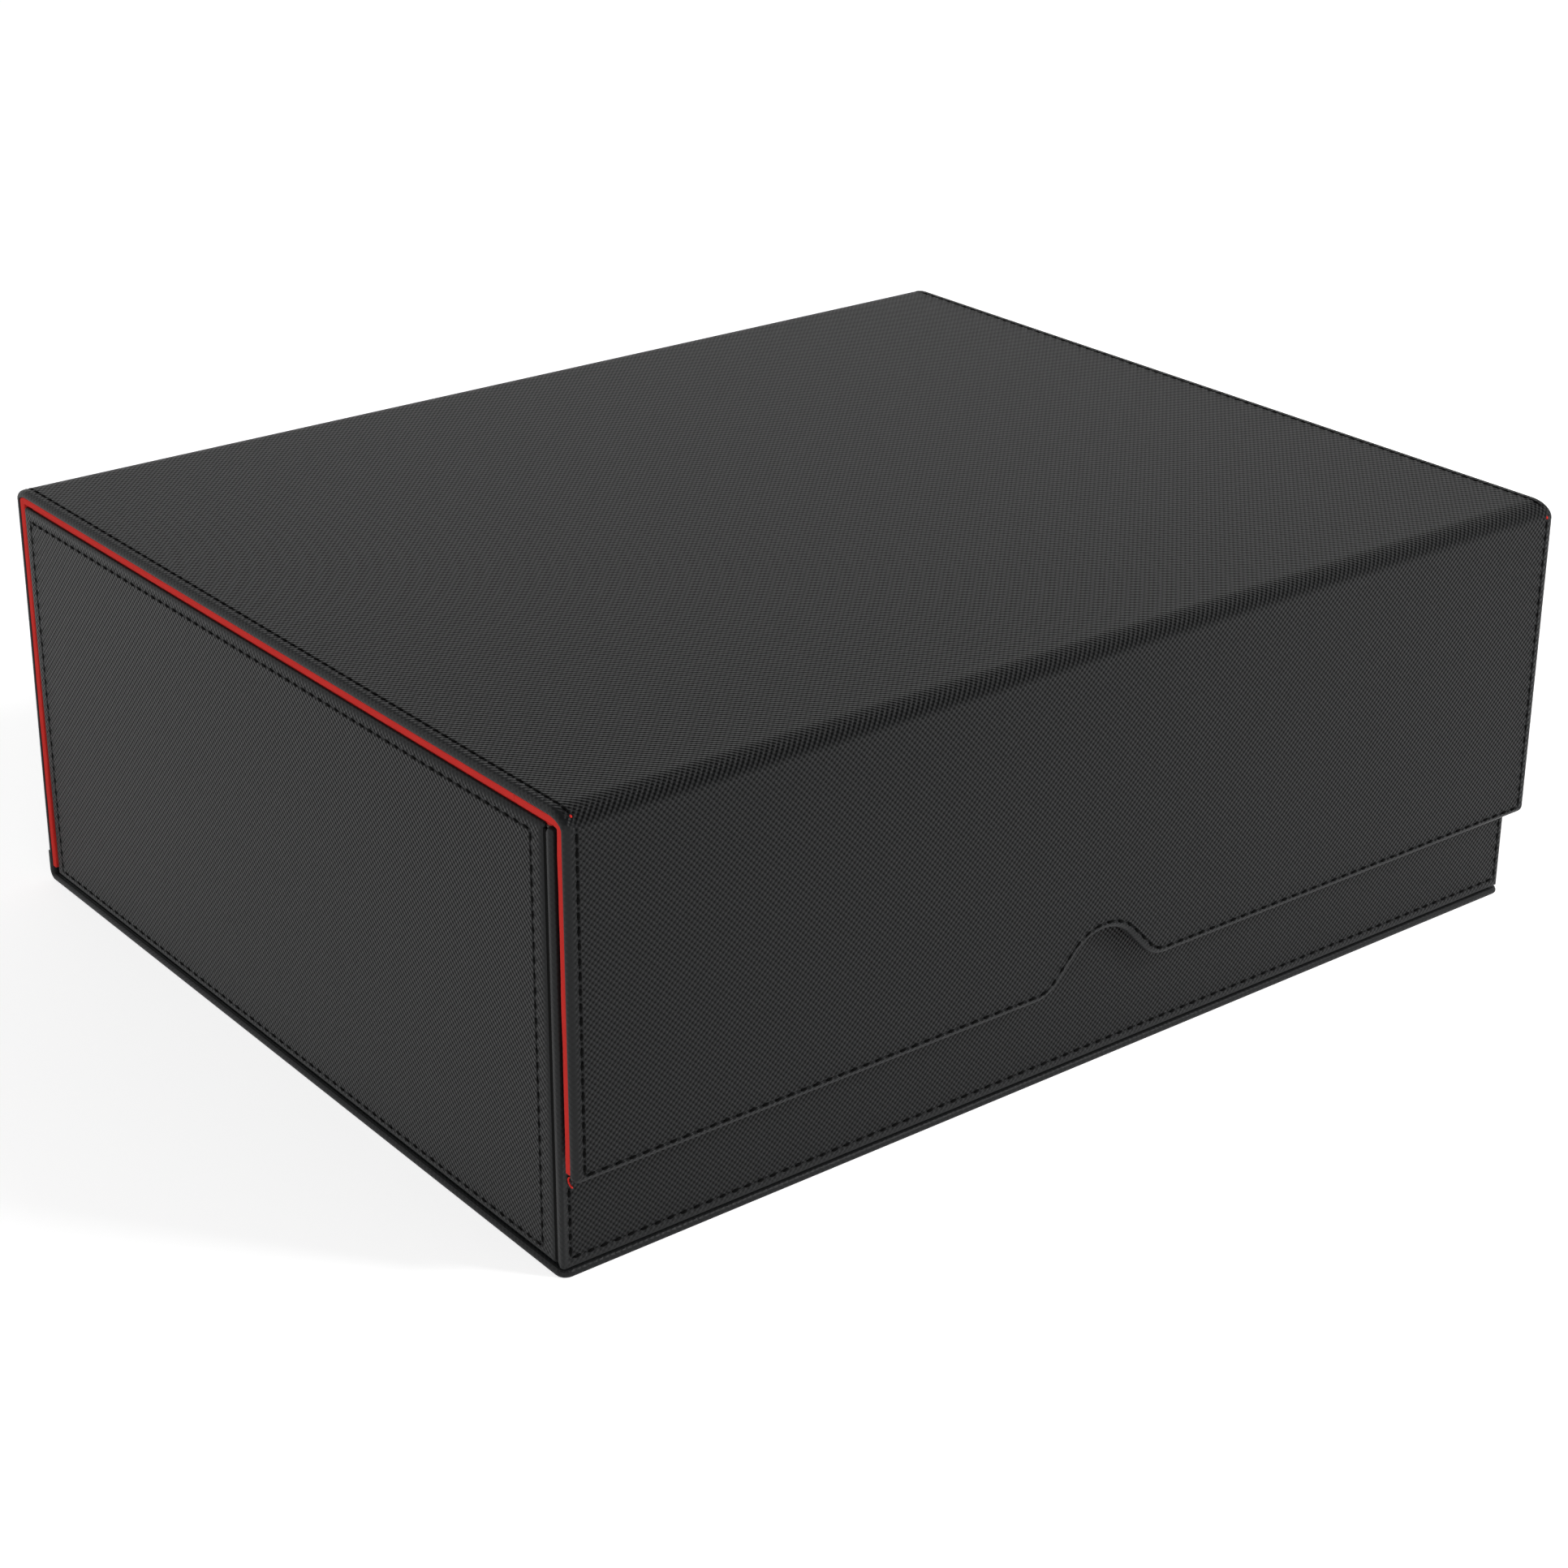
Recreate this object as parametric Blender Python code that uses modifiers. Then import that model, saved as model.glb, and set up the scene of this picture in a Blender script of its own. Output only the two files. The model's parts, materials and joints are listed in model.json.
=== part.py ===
"""Card storage box: a leather-covered case with a hinged lid, a magnetic front flap and a four-lane tray.

Metres, +Z up. The front faces -Y, +X is to its right, and the origin is the middle of the rest face.
A cover of four stiff panels (bottom, back, lid and flap) folds round a lined tray. Each panel is a
greyboard in a leather skin, with a red lined panel glued behind it. The leather itself bends at the
folds between the panels, so the folds are the hinges.
"""

import math

import bmesh
import bpy
from mathutils import Matrix, Vector

# Overall size of the closed box
WIDTH = 0.340
DEPTH = 0.278
HEIGHT = 0.125

# Layers of a cover panel, from the outside in
SKIN = 0.0007
PANEL_BOARD = 0.0011
LINING_PANEL = 0.0020
GLUE_GAP = 0.0002
TURN_IN_GAP = 0.0006
NOSE_RADIUS = 0.0015
LINING_EDGE_RADIUS = 0.0005
LINING_INSET = 0.0002
PANEL = SKIN + GLUE_GAP + PANEL_BOARD
STACK = PANEL + GLUE_GAP + LINING_PANEL

# Folds of the leather, measured from the sharp outer corner that each fold rounds off
REAR_FOLD_RADIUS = 0.0030
REAR_FOLD_REACH = 0.0060
FRONT_FOLD_RADIUS_Y = 0.0075
FRONT_FOLD_RADIUS_Z = 0.0045
FRONT_FOLD_REACH = 0.0120
FRONT_FOLD_DROP = 0.0080
LINING_FOLD_REACH = 0.0070
FRONT_LINING_REACH = 0.0100
HEEL_LINING_REACH = 0.0044
SEAM_GAP = 0.0002

# Flap: where it ends, its corners and the arched finger notch in its lower edge
FLAP_BOTTOM = 0.0284
FLAP_CORNER_RADIUS = 0.0020
NOTCH_HEIGHT = 0.0142
NOTCH_ARCH_RADIUS = 0.0130
NOTCH_FLARE_RADIUS = 0.0100
NOTCH_SLOPE_DEG = 47.0

# Bottom panel, a little wider than the tray that stands on it
BOTTOM_LIP = 0.0006
BOTTOM_CORNER_RADIUS = 0.0030
BOTTOM_SEAM = 0.0004

# Tray: where it stands in the cover, and the layers of its walls from the outside in
TRAY_SET_BACK = 0.0057
TRAY_SIDE_INSET = 0.0006
TRAY_BACK_GAP = 0.0003
LID_GAP = 0.0008
FACING = 0.0014
FACING_WRAP = 0.0022
FACING_EDGE_RADIUS = 0.0005
WALL_BOARD = 0.0020
FLOOR_BOARD = 0.0020
TRAY_LINING = 0.0008
FACING_SEAM = 0.0002

# Fixed partitions that split the tray into lanes
LANES = 4
PARTITION = 0.0030
PARTITION_TOP = 0.0920
PARTITION_CORNER_RADIUS = 0.0060
PARTITION_EDGE_RADIUS = 0.0006
PARTITION_GAP = 0.0003

# Closing magnets, two in the flap and two in the tray's front wall
MAGNET_RADIUS = 0.0060
MAGNET_HOLE_GAP = 0.0002
MAGNET_SPREAD = 0.1700
MAGNET_ABOVE_FLAP_EDGE = 0.0150
FLAP_MAGNET = 0.0010
TRAY_MAGNET = 0.0020

# Smoothness of rounded forms
NOSE_STEPS = 3
CORNER_STEPS = 5
FOLD_STEPS = 8
ARCH_STEPS = 14
FLARE_STEPS = 6
MAGNET_STEPS = 32

# Weld distance for meshes that come from curves
WELD = 0.00001

COLLECTION = "card_storage_box"
CUTTERS = "card_storage_box_cutters"

# Faces of the closed box that other pieces are measured from
SIDE = WIDTH / 2
FRONT = -DEPTH / 2
BACK = DEPTH / 2
TRAY_SIDE = SIDE - TRAY_SIDE_INSET
TRAY_FRONT = FRONT + TRAY_SET_BACK
TRAY_BACK = BACK - STACK - TRAY_BACK_GAP
TRAY_BOTTOM = PANEL + BOTTOM_SEAM
TRAY_TOP = HEIGHT - STACK - LID_GAP

# Inner faces of the tray's layers
BOARD_SIDE = TRAY_SIDE - FACING - GLUE_GAP
BOARD_FRONT = TRAY_FRONT + FACING + GLUE_GAP
LINING_SIDE = BOARD_SIDE - WALL_BOARD - GLUE_GAP
LINING_FRONT = BOARD_FRONT + WALL_BOARD + GLUE_GAP
LINING_BACK = TRAY_BACK - WALL_BOARD - GLUE_GAP
ROOM_SIDE = LINING_SIDE - TRAY_LINING
ROOM_FRONT = LINING_FRONT + TRAY_LINING
ROOM_BACK = LINING_BACK - TRAY_LINING
FLOOR_TOP = TRAY_BOTTOM + FLOOR_BOARD + GLUE_GAP + TRAY_LINING
BOARD_TOP = TRAY_TOP - TRAY_LINING - GLUE_GAP

# Panel frames: u and v lie in the panel's outer face, and w points out of the box
LID_FRAME = Matrix(((1, 0, 0, 0), (0, 1, 0, 0), (0, 0, 1, HEIGHT), (0, 0, 0, 1)))
FLAP_FRAME = Matrix(((1, 0, 0, 0), (0, 0, -1, FRONT), (0, 1, 0, 0), (0, 0, 0, 1)))
BACK_FRAME = Matrix(((-1, 0, 0, 0), (0, 0, 1, BACK), (0, 1, 0, 0), (0, 0, 0, 1)))
BOTTOM_FRAME = Matrix(((1, 0, 0, 0), (0, -1, 0, 0), (0, 0, -1, 0), (0, 0, 0, 1)))

# Frame of a section drawn in Y and Z and drawn out along X
SECTION_FRAME = Matrix(((0, 0, 1, 0), (1, 0, 0, 0), (0, 1, 0, 0), (0, 0, 0, 1)))

# Frame of a plan drawn at the tray's rim and drawn out downwards
RIM_FRAME = Matrix.Translation((0, 0, TRAY_TOP))


def clear_scene():
    """Empties the scene, so that only the box is in it."""
    for obj in list(bpy.data.objects):
        bpy.data.objects.remove(obj)


def new_collection(name):
    """Adds a collection to the scene."""
    collection = bpy.data.collections.new(name)
    bpy.context.scene.collection.children.link(collection)
    return collection


def material(name, color, roughness, metallic=0.0):
    """A Principled material of one colour."""
    made = bpy.data.materials.new(name)
    made.use_nodes = True
    shader = made.node_tree.nodes["Principled BSDF"]
    shader.inputs["Base Color"].default_value = (*color, 1.0)
    shader.inputs["Roughness"].default_value = roughness
    shader.inputs["Metallic"].default_value = metallic
    return made


def add_object(name, data, finish, collection):
    """Links an object for some mesh or curve data, with its finish."""
    obj = bpy.data.objects.new(name, data)
    collection.objects.link(obj)
    if finish:
        data.materials.append(finish)
    return obj


def arc(centre, radius, start_deg, end_deg, steps):
    """Points along an arc, both ends included."""
    points = []
    for step in range(steps + 1):
        angle = math.radians(start_deg + (end_deg - start_deg) * step / steps)
        points.append((centre[0] + radius * math.cos(angle), centre[1] + radius * math.sin(angle)))
    return points


def rectangle(left, right, low, high, radii, steps=CORNER_STEPS):
    """An anticlockwise outline from its lower left corner; radii are for the corners in that order."""
    corners = ((left, low, 1, 1), (right, low, -1, 1), (right, high, -1, -1), (left, high, 1, -1))
    points = []
    for quarter, ((u, v, inward_u, inward_v), radius) in enumerate(zip(corners, radii)):
        if radius > 0:
            centre = (u + inward_u * radius, v + inward_v * radius)
            start = 180 + 90 * quarter
            points += arc(centre, radius, start, start + 90, steps)
        else:
            points.append((u, v))
    return points


def round_edges(obj, width, segments=2, limit_deg=40):
    """Rounds the sharp edges of an object."""
    bevel = obj.modifiers.new("edge_rounding", "BEVEL")
    bevel.width = width
    bevel.segments = segments
    bevel.limit_method = "ANGLE"
    bevel.angle_limit = math.radians(limit_deg)


def slab(name, low, high, finish, collection, edge_radius=None):
    """A rectangular board between two corners."""
    mesh = bpy.data.meshes.new(name)
    size = Vector(high) - Vector(low)
    middle = (Vector(high) + Vector(low)) / 2
    shape = bmesh.new()
    bmesh.ops.create_cube(shape, size=1.0)
    bmesh.ops.scale(shape, vec=size, verts=shape.verts)
    shape.to_mesh(mesh)
    shape.free()
    obj = add_object(name, mesh, finish, collection)
    obj.location = middle
    if edge_radius:
        round_edges(obj, edge_radius)
    return obj


def plate(name, outlines, frame, depth, finish, collection, edge_radius=None):
    """A flat piece cut to an outline, with any further outlines as holes.

    depth is how far the piece's near and far faces lie behind the frame.
    """
    curve = bpy.data.curves.new(name, "CURVE")
    curve.dimensions = "2D"
    curve.fill_mode = "BOTH"
    curve.extrude = (depth[1] - depth[0]) / 2
    for outline in outlines:
        spline = curve.splines.new("POLY")
        spline.points.add(len(outline) - 1)
        for point, (u, v) in zip(spline.points, outline):
            point.co = (u, v, 0, 1)
        spline.use_cyclic_u = True
    obj = add_object(name, curve, finish, collection)
    obj.matrix_world = frame @ Matrix.Translation((0, 0, -(depth[0] + depth[1]) / 2))
    if edge_radius:
        weld = obj.modifiers.new("joined_caps", "WELD")
        weld.merge_threshold = WELD
        round_edges(obj, edge_radius)
    return obj


def cover_skin(name, outline, turned_in, frame, finish, collection):
    """Leather over a panel's outer face, with a rounded nose where it is turned over the board's edge.

    outline is anticlockwise in u and v, and turned_in says, from an edge's two ends, whether the leather
    goes round that edge.
    """
    shape = bmesh.new()
    corners = [shape.verts.new((u, v, 0)) for u, v in outline]
    sides = [shape.edges.new((corners[i - 1], corners[i])) for i in range(len(corners))]
    bmesh.ops.contextual_create(shape, geom=sides)
    bmesh.ops.recalc_face_normals(shape, faces=shape.faces)
    if next(iter(shape.faces)).normal.z < 0:
        bmesh.ops.reverse_faces(shape, faces=shape.faces)
    folded = [side for i, side in enumerate(sides) if turned_in(outline[i - 1], outline[i])]
    grown = bmesh.ops.extrude_edge_only(shape, edges=folded)["geom"]
    hem = [item for item in grown if isinstance(item, bmesh.types.BMVert)]
    bmesh.ops.translate(shape, vec=(0, 0, -PANEL), verts=hem)
    bmesh.ops.bevel(
        shape,
        geom=folded,
        offset=NOSE_RADIUS,
        segments=NOSE_STEPS,
        profile=0.5,
        affect="EDGES",
        clamp_overlap=True,
        material=-1,
    )
    bmesh.ops.recalc_face_normals(shape, faces=shape.faces)
    if max(shape.faces, key=lambda face: face.calc_area()).normal.z < 0:
        bmesh.ops.reverse_faces(shape, faces=shape.faces)
    mesh = bpy.data.meshes.new(name)
    shape.to_mesh(mesh)
    shape.free()
    obj = add_object(name, mesh, finish, collection)
    obj.matrix_world = frame
    wall = obj.modifiers.new("leather_thickness", "SOLIDIFY")
    wall.thickness = SKIN
    wall.offset = -1
    wall.use_even_offset = True
    return obj


def fold_turn(centre, radii):
    """Points round a quarter of an ellipse, from below its centre to beside it."""
    turn = arc((0, 0), 1, 270, 180, FOLD_STEPS)
    return [(centre[0] + radii[0] * a, centre[1] + radii[1] * b) for a, b in turn]


def fold_band(name, corner, signs, radii, thickness, arms, half_width, finish, collection):
    """Material bent through a right angle round an outer corner, drawn out across the box.

    corner is the sharp outer corner in Y and Z, and the signs point from it into the box. The radii are
    how far the corner is rounded off along Y and Z, and the arms are how far the band runs along them.
    """
    reach, drop = arms
    outer_line = [(reach, 0)] + fold_turn(radii, radii) + [(0, drop)]
    inner = [radius - thickness for radius in radii]
    inner_turn = fold_turn(radii, inner)[::-1] if min(inner) > 0 else [(thickness, thickness)]
    inner_line = [(thickness, drop)] + inner_turn + [(reach, thickness)]
    section = [(corner[0] + signs[0] * a, corner[1] + signs[1] * b) for a, b in outer_line + inner_line]
    depth = (-half_width, half_width)
    return plate(name, [section], SECTION_FRAME, depth, finish, collection)


def notch_outline(inset):
    """The finger notch from its left flare to its right one, moved into the flap by inset."""
    slope = math.radians(NOTCH_SLOPE_DEG)
    apex = FLAP_BOTTOM + NOTCH_HEIGHT
    rounding = (NOTCH_ARCH_RADIUS + NOTCH_FLARE_RADIUS) * (1 - math.cos(slope))
    straight = (NOTCH_HEIGHT - rounding) / math.sin(slope)
    reach = (NOTCH_ARCH_RADIUS + NOTCH_FLARE_RADIUS) * math.sin(slope) + straight * math.cos(slope)
    flare = NOTCH_FLARE_RADIUS - inset
    flare_height = FLAP_BOTTOM + NOTCH_FLARE_RADIUS
    arch = NOTCH_ARCH_RADIUS + inset
    arch_centre = (0, apex - NOTCH_ARCH_RADIUS)
    left = arc((-reach, flare_height), flare, 270, 270 + NOTCH_SLOPE_DEG, FLARE_STEPS)
    top = arc(arch_centre, arch, 90 + NOTCH_SLOPE_DEG, 90 - NOTCH_SLOPE_DEG, ARCH_STEPS)
    right = arc((reach, flare_height), flare, 270 - NOTCH_SLOPE_DEG, 270, FLARE_STEPS)
    return left + top + right


def flap_outline(inset, top):
    """The flap's outline, anticlockwise from its top left corner, moved in by inset on its free sides."""
    side = SIDE - inset
    bottom = FLAP_BOTTOM + inset
    radius = FLAP_CORNER_RADIUS - inset
    left_corner = arc((-side + radius, bottom + radius), radius, 180, 270, CORNER_STEPS)
    right_corner = arc((side - radius, bottom + radius), radius, 270, 360, CORNER_STEPS)
    return [(-side, top)] + left_corner + notch_outline(inset) + right_corner + [(side, top)]


def round_holes(height):
    """Outlines of the two magnet holes at a height, for a board seen from the front."""
    radius = MAGNET_RADIUS + MAGNET_HOLE_GAP
    holes = []
    for side in (-1, 1):
        holes.append(arc((side * MAGNET_SPREAD / 2, height), radius, 0, 360, MAGNET_STEPS)[:-1])
    return holes


def magnet(name, side, height, front_face, thickness, finish, collection):
    """A magnet disc with its axis along Y, whose front face is at the given Y."""
    mesh = bpy.data.meshes.new(name)
    shape = bmesh.new()
    bmesh.ops.create_cone(
        shape,
        cap_ends=True,
        segments=MAGNET_STEPS,
        radius1=MAGNET_RADIUS,
        radius2=MAGNET_RADIUS,
        depth=thickness,
        matrix=Matrix.Rotation(math.radians(90), 4, "X"),
    )
    shape.to_mesh(mesh)
    shape.free()
    mesh.shade_smooth()
    mesh.set_sharp_from_angle(angle=math.radians(40))
    obj = add_object(name, mesh, finish, collection)
    obj.location = (side * MAGNET_SPREAD / 2, front_face + thickness / 2, height)
    return obj


def bottom_panel(finishes, collection):
    """The panel that the tray stands on: a skin and its board."""
    side = TRAY_SIDE + BOTTOM_LIP
    front = -(TRAY_FRONT - BOTTOM_LIP)
    heel = -(BACK - REAR_FOLD_REACH)
    radii = (0, 0, BOTTOM_CORNER_RADIUS, BOTTOM_CORNER_RADIUS)
    outline = rectangle(-side, side, heel, front, radii)

    def turned(a, b):
        return not a[1] == b[1] == heel

    skin = cover_skin("bottom_cover", outline, turned, BOTTOM_FRAME, finishes["leather"], collection)
    inset = SKIN + TURN_IN_GAP
    radius = BOTTOM_CORNER_RADIUS - inset
    board_outline = rectangle(-side + inset, side - inset, heel, front - inset, (0, 0, radius, radius))
    depth = (SKIN + GLUE_GAP, PANEL)
    board = plate("bottom_board", [board_outline], BOTTOM_FRAME, depth, finishes["board"], collection)
    return [skin, board]


def back_panel(finishes, collection):
    """The upright panel behind the tray, between the heel fold and the lid fold."""
    low = REAR_FOLD_REACH + SEAM_GAP
    high = HEIGHT - REAR_FOLD_REACH - SEAM_GAP
    outline = rectangle(-SIDE, SIDE, low, high, (0, 0, 0, 0))

    def turned(a, b):
        return a[0] == b[0]

    skin = cover_skin("back_cover", outline, turned, BACK_FRAME, finishes["leather"], collection)
    inset = SIDE - SKIN - TURN_IN_GAP
    board = slab(
        "back_board",
        (-inset, BACK - PANEL, low),
        (inset, BACK - SKIN - GLUE_GAP, high),
        finishes["board"],
        collection,
    )
    lining = slab(
        "back_lining",
        (-SIDE + LINING_INSET, BACK - STACK, HEEL_LINING_REACH),
        (SIDE - LINING_INSET, BACK - PANEL - GLUE_GAP, HEIGHT - LINING_FOLD_REACH),
        finishes["microfibre"],
        collection,
        LINING_EDGE_RADIUS,
    )
    heel = fold_band(
        "heel_fold",
        corner=(BACK, 0),
        signs=(-1, 1),
        radii=(REAR_FOLD_RADIUS, REAR_FOLD_RADIUS),
        thickness=PANEL,
        arms=(REAR_FOLD_REACH - SEAM_GAP, REAR_FOLD_REACH),
        half_width=SIDE,
        finish=finishes["leather"],
        collection=collection,
    )
    return [skin, board, lining, heel]


def lid_panel(finishes, collection):
    """The lid between its rear fold and the flap's fold."""
    near = FRONT + FRONT_FOLD_REACH + SEAM_GAP
    far = BACK - REAR_FOLD_REACH - SEAM_GAP
    outline = rectangle(-SIDE, SIDE, near, far, (0, 0, 0, 0))

    def turned(a, b):
        return a[0] == b[0]

    skin = cover_skin("lid_cover", outline, turned, LID_FRAME, finishes["leather"], collection)
    inset = SIDE - SKIN - TURN_IN_GAP
    board = slab(
        "lid_board",
        (-inset, near, HEIGHT - PANEL),
        (inset, far, HEIGHT - SKIN - GLUE_GAP),
        finishes["board"],
        collection,
    )
    lining = slab(
        "lid_lining",
        (-SIDE + LINING_INSET, FRONT + FRONT_LINING_REACH, HEIGHT - STACK),
        (SIDE - LINING_INSET, BACK - LINING_FOLD_REACH, HEIGHT - PANEL - GLUE_GAP),
        finishes["microfibre"],
        collection,
        LINING_EDGE_RADIUS,
    )
    return [skin, board, lining]


def lid_hinge(finishes, collection):
    """The rear fold, in leather outside and lining inside, that the lid turns on."""
    leather = fold_band(
        "lid_hinge_leather",
        corner=(BACK, HEIGHT),
        signs=(-1, -1),
        radii=(REAR_FOLD_RADIUS, REAR_FOLD_RADIUS),
        thickness=PANEL,
        arms=(REAR_FOLD_REACH, REAR_FOLD_REACH),
        half_width=SIDE,
        finish=finishes["leather"],
        collection=collection,
    )
    deep = PANEL + GLUE_GAP
    arm = LINING_FOLD_REACH - deep - SEAM_GAP
    turn = max(REAR_FOLD_RADIUS - deep, LINING_EDGE_RADIUS)
    lining = fold_band(
        "lid_hinge_lining",
        corner=(BACK - deep, HEIGHT - deep),
        signs=(-1, -1),
        radii=(turn, turn),
        thickness=LINING_PANEL,
        arms=(arm, arm),
        half_width=SIDE - LINING_INSET,
        finish=finishes["microfibre"],
        collection=collection,
    )
    return [leather, lining]


def flap_hinge(finishes, collection):
    """The front fold, in leather outside and lining inside, that the flap turns on."""
    leather = fold_band(
        "flap_hinge_leather",
        corner=(FRONT, HEIGHT),
        signs=(1, -1),
        radii=(FRONT_FOLD_RADIUS_Y, FRONT_FOLD_RADIUS_Z),
        thickness=PANEL,
        arms=(FRONT_FOLD_REACH, FRONT_FOLD_DROP),
        half_width=SIDE,
        finish=finishes["leather"],
        collection=collection,
    )
    deep = PANEL + GLUE_GAP
    lining = fold_band(
        "flap_hinge_lining",
        corner=(FRONT + deep, HEIGHT - deep),
        signs=(1, -1),
        radii=(FRONT_FOLD_RADIUS_Y - deep, FRONT_FOLD_RADIUS_Z - deep),
        thickness=LINING_PANEL,
        arms=(FRONT_LINING_REACH - deep - SEAM_GAP, LINING_FOLD_REACH - deep - SEAM_GAP),
        half_width=SIDE - LINING_INSET,
        finish=finishes["microfibre"],
        collection=collection,
    )
    return [leather, lining]


def flap_panel(finishes, collection):
    """The front flap with its arched finger notch, and the magnets that hold it shut."""
    top = HEIGHT - FRONT_FOLD_DROP - SEAM_GAP
    outline = flap_outline(0, top)

    def turned(a, b):
        return not a[1] == b[1] == top

    skin = cover_skin("flap_cover", outline, turned, FLAP_FRAME, finishes["leather"], collection)
    magnet_height = FLAP_BOTTOM + MAGNET_ABOVE_FLAP_EDGE
    board_outlines = [flap_outline(SKIN + TURN_IN_GAP, top)] + round_holes(magnet_height)
    board_depth = (SKIN + GLUE_GAP, PANEL)
    board = plate("flap_board", board_outlines, FLAP_FRAME, board_depth, finishes["board"], collection)
    lining = plate(
        "flap_lining",
        [flap_outline(LINING_INSET, HEIGHT - LINING_FOLD_REACH)],
        FLAP_FRAME,
        (PANEL + GLUE_GAP, STACK),
        finishes["microfibre"],
        collection,
        LINING_EDGE_RADIUS,
    )
    face = FRONT + SKIN + GLUE_GAP
    plated = finishes["magnet"]
    magnets = [
        magnet(name, side, magnet_height, face, FLAP_MAGNET, plated, collection)
        for name, side in (("flap_magnet_left", -1), ("flap_magnet_right", 1))
    ]
    return [skin, board, lining] + magnets


def front_facing(finish, collection):
    """The leather facing of the tray's front, which goes round both corners onto the sides."""
    inner_side = TRAY_SIDE - FACING
    inner_face = TRAY_FRONT + FACING
    hem = TRAY_FRONT + FACING_WRAP
    right_end = [(TRAY_SIDE, TRAY_FRONT), (TRAY_SIDE, hem), (inner_side, hem), (inner_side, inner_face)]
    left_end = [(-x, y) for x, y in reversed(right_end)]
    plan = right_end + left_end
    depth = (0, TRAY_TOP - TRAY_BOTTOM)
    plate("tray_front_facing", [plan], RIM_FRAME, depth, finish, collection, FACING_EDGE_RADIUS)


def tray_walls(finishes, collection):
    """The tray's stiff boards and the leather facings on the three sides that show."""
    leather = finishes["leather"]
    board = finishes["board"]
    front_facing(leather, collection)
    magnet_height = FLAP_BOTTOM + MAGNET_ABOVE_FLAP_EDGE
    front_outline = rectangle(-BOARD_SIDE, BOARD_SIDE, TRAY_BOTTOM, BOARD_TOP, (0, 0, 0, 0))
    front_depth = (BOARD_FRONT - FRONT, BOARD_FRONT + WALL_BOARD - FRONT)
    front_outlines = [front_outline] + round_holes(magnet_height)
    plate("tray_front_board", front_outlines, FLAP_FRAME, front_depth, board, collection)
    for name, side in (("tray_magnet_left", -1), ("tray_magnet_right", 1)):
        magnet(name, side, magnet_height, BOARD_FRONT, TRAY_MAGNET, finishes["magnet"], collection)
    slab(
        "tray_back_board",
        (-BOARD_SIDE, TRAY_BACK - WALL_BOARD, TRAY_BOTTOM),
        (BOARD_SIDE, TRAY_BACK, BOARD_TOP),
        board,
        collection,
    )
    board_inner = BOARD_SIDE - WALL_BOARD
    near = BOARD_FRONT + WALL_BOARD + GLUE_GAP
    far = TRAY_BACK - WALL_BOARD - GLUE_GAP
    for name, side in (("left", -1), ("right", 1)):
        outer_x = sorted((side * TRAY_SIDE, side * (TRAY_SIDE - FACING)))
        slab(
            f"tray_{name}_facing",
            (outer_x[0], TRAY_FRONT + FACING_WRAP + FACING_SEAM, TRAY_BOTTOM),
            (outer_x[1], TRAY_BACK, TRAY_TOP),
            leather,
            collection,
            FACING_EDGE_RADIUS,
        )
        board_x = sorted((side * BOARD_SIDE, side * board_inner))
        slab(
            f"tray_{name}_board",
            (board_x[0], near, TRAY_BOTTOM),
            (board_x[1], far, BOARD_TOP),
            board,
            collection,
        )
    floor_side = board_inner - GLUE_GAP
    slab(
        "tray_floor_board",
        (-floor_side, near, TRAY_BOTTOM),
        (floor_side, far, TRAY_BOTTOM + FLOOR_BOARD),
        board,
        collection,
    )


def wall_lining(name, wall_x, wall_y, lip_x, lip_y, low, finish, collection, cutters):
    """The lining of one tray wall, joined to the lip that it turns out over the rim."""
    wall = slab(name, (wall_x[0], wall_y[0], low), (wall_x[1], wall_y[1], TRAY_TOP), finish, collection)
    lip_low = (lip_x[0], lip_y[0], TRAY_TOP - TRAY_LINING)
    lip = slab(f"{name}_lip", lip_low, (lip_x[1], lip_y[1], TRAY_TOP), None, cutters)
    lip.hide_render = True
    lip.display_type = "WIRE"
    union = wall.modifiers.new("lip_over_the_rim", "BOOLEAN")
    union.operation = "UNION"
    union.solver = "EXACT"
    union.object = lip


def tray_linings(finishes, collection, cutters):
    """The red lining of the tray, whose upper edge is turned out over the rim."""
    microfibre = finishes["microfibre"]
    low = TRAY_BOTTOM + FLOOR_BOARD + GLUE_GAP
    slab(
        "tray_floor_lining",
        (-ROOM_SIDE, ROOM_FRONT, low),
        (ROOM_SIDE, ROOM_BACK, FLOOR_TOP),
        microfibre,
        collection,
    )
    near = ROOM_FRONT - GLUE_GAP
    far = ROOM_BACK + GLUE_GAP
    across = (-LINING_SIDE, LINING_SIDE)
    rim = (-BOARD_SIDE, BOARD_SIDE)
    along = (ROOM_FRONT, ROOM_BACK)
    inner = ROOM_SIDE + GLUE_GAP
    walls = (
        ("tray_front_lining", across, (LINING_FRONT, near), rim, (BOARD_FRONT, near)),
        ("tray_back_lining", across, (far, LINING_BACK), rim, (far, TRAY_BACK)),
        ("tray_left_lining", (-LINING_SIDE, -inner), along, (-BOARD_SIDE, -inner), along),
        ("tray_right_lining", (inner, LINING_SIDE), along, (inner, BOARD_SIDE), along),
    )
    for name, wall_x, wall_y, lip_x, lip_y in walls:
        wall_lining(name, wall_x, wall_y, lip_x, lip_y, low, microfibre, collection, cutters)


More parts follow.
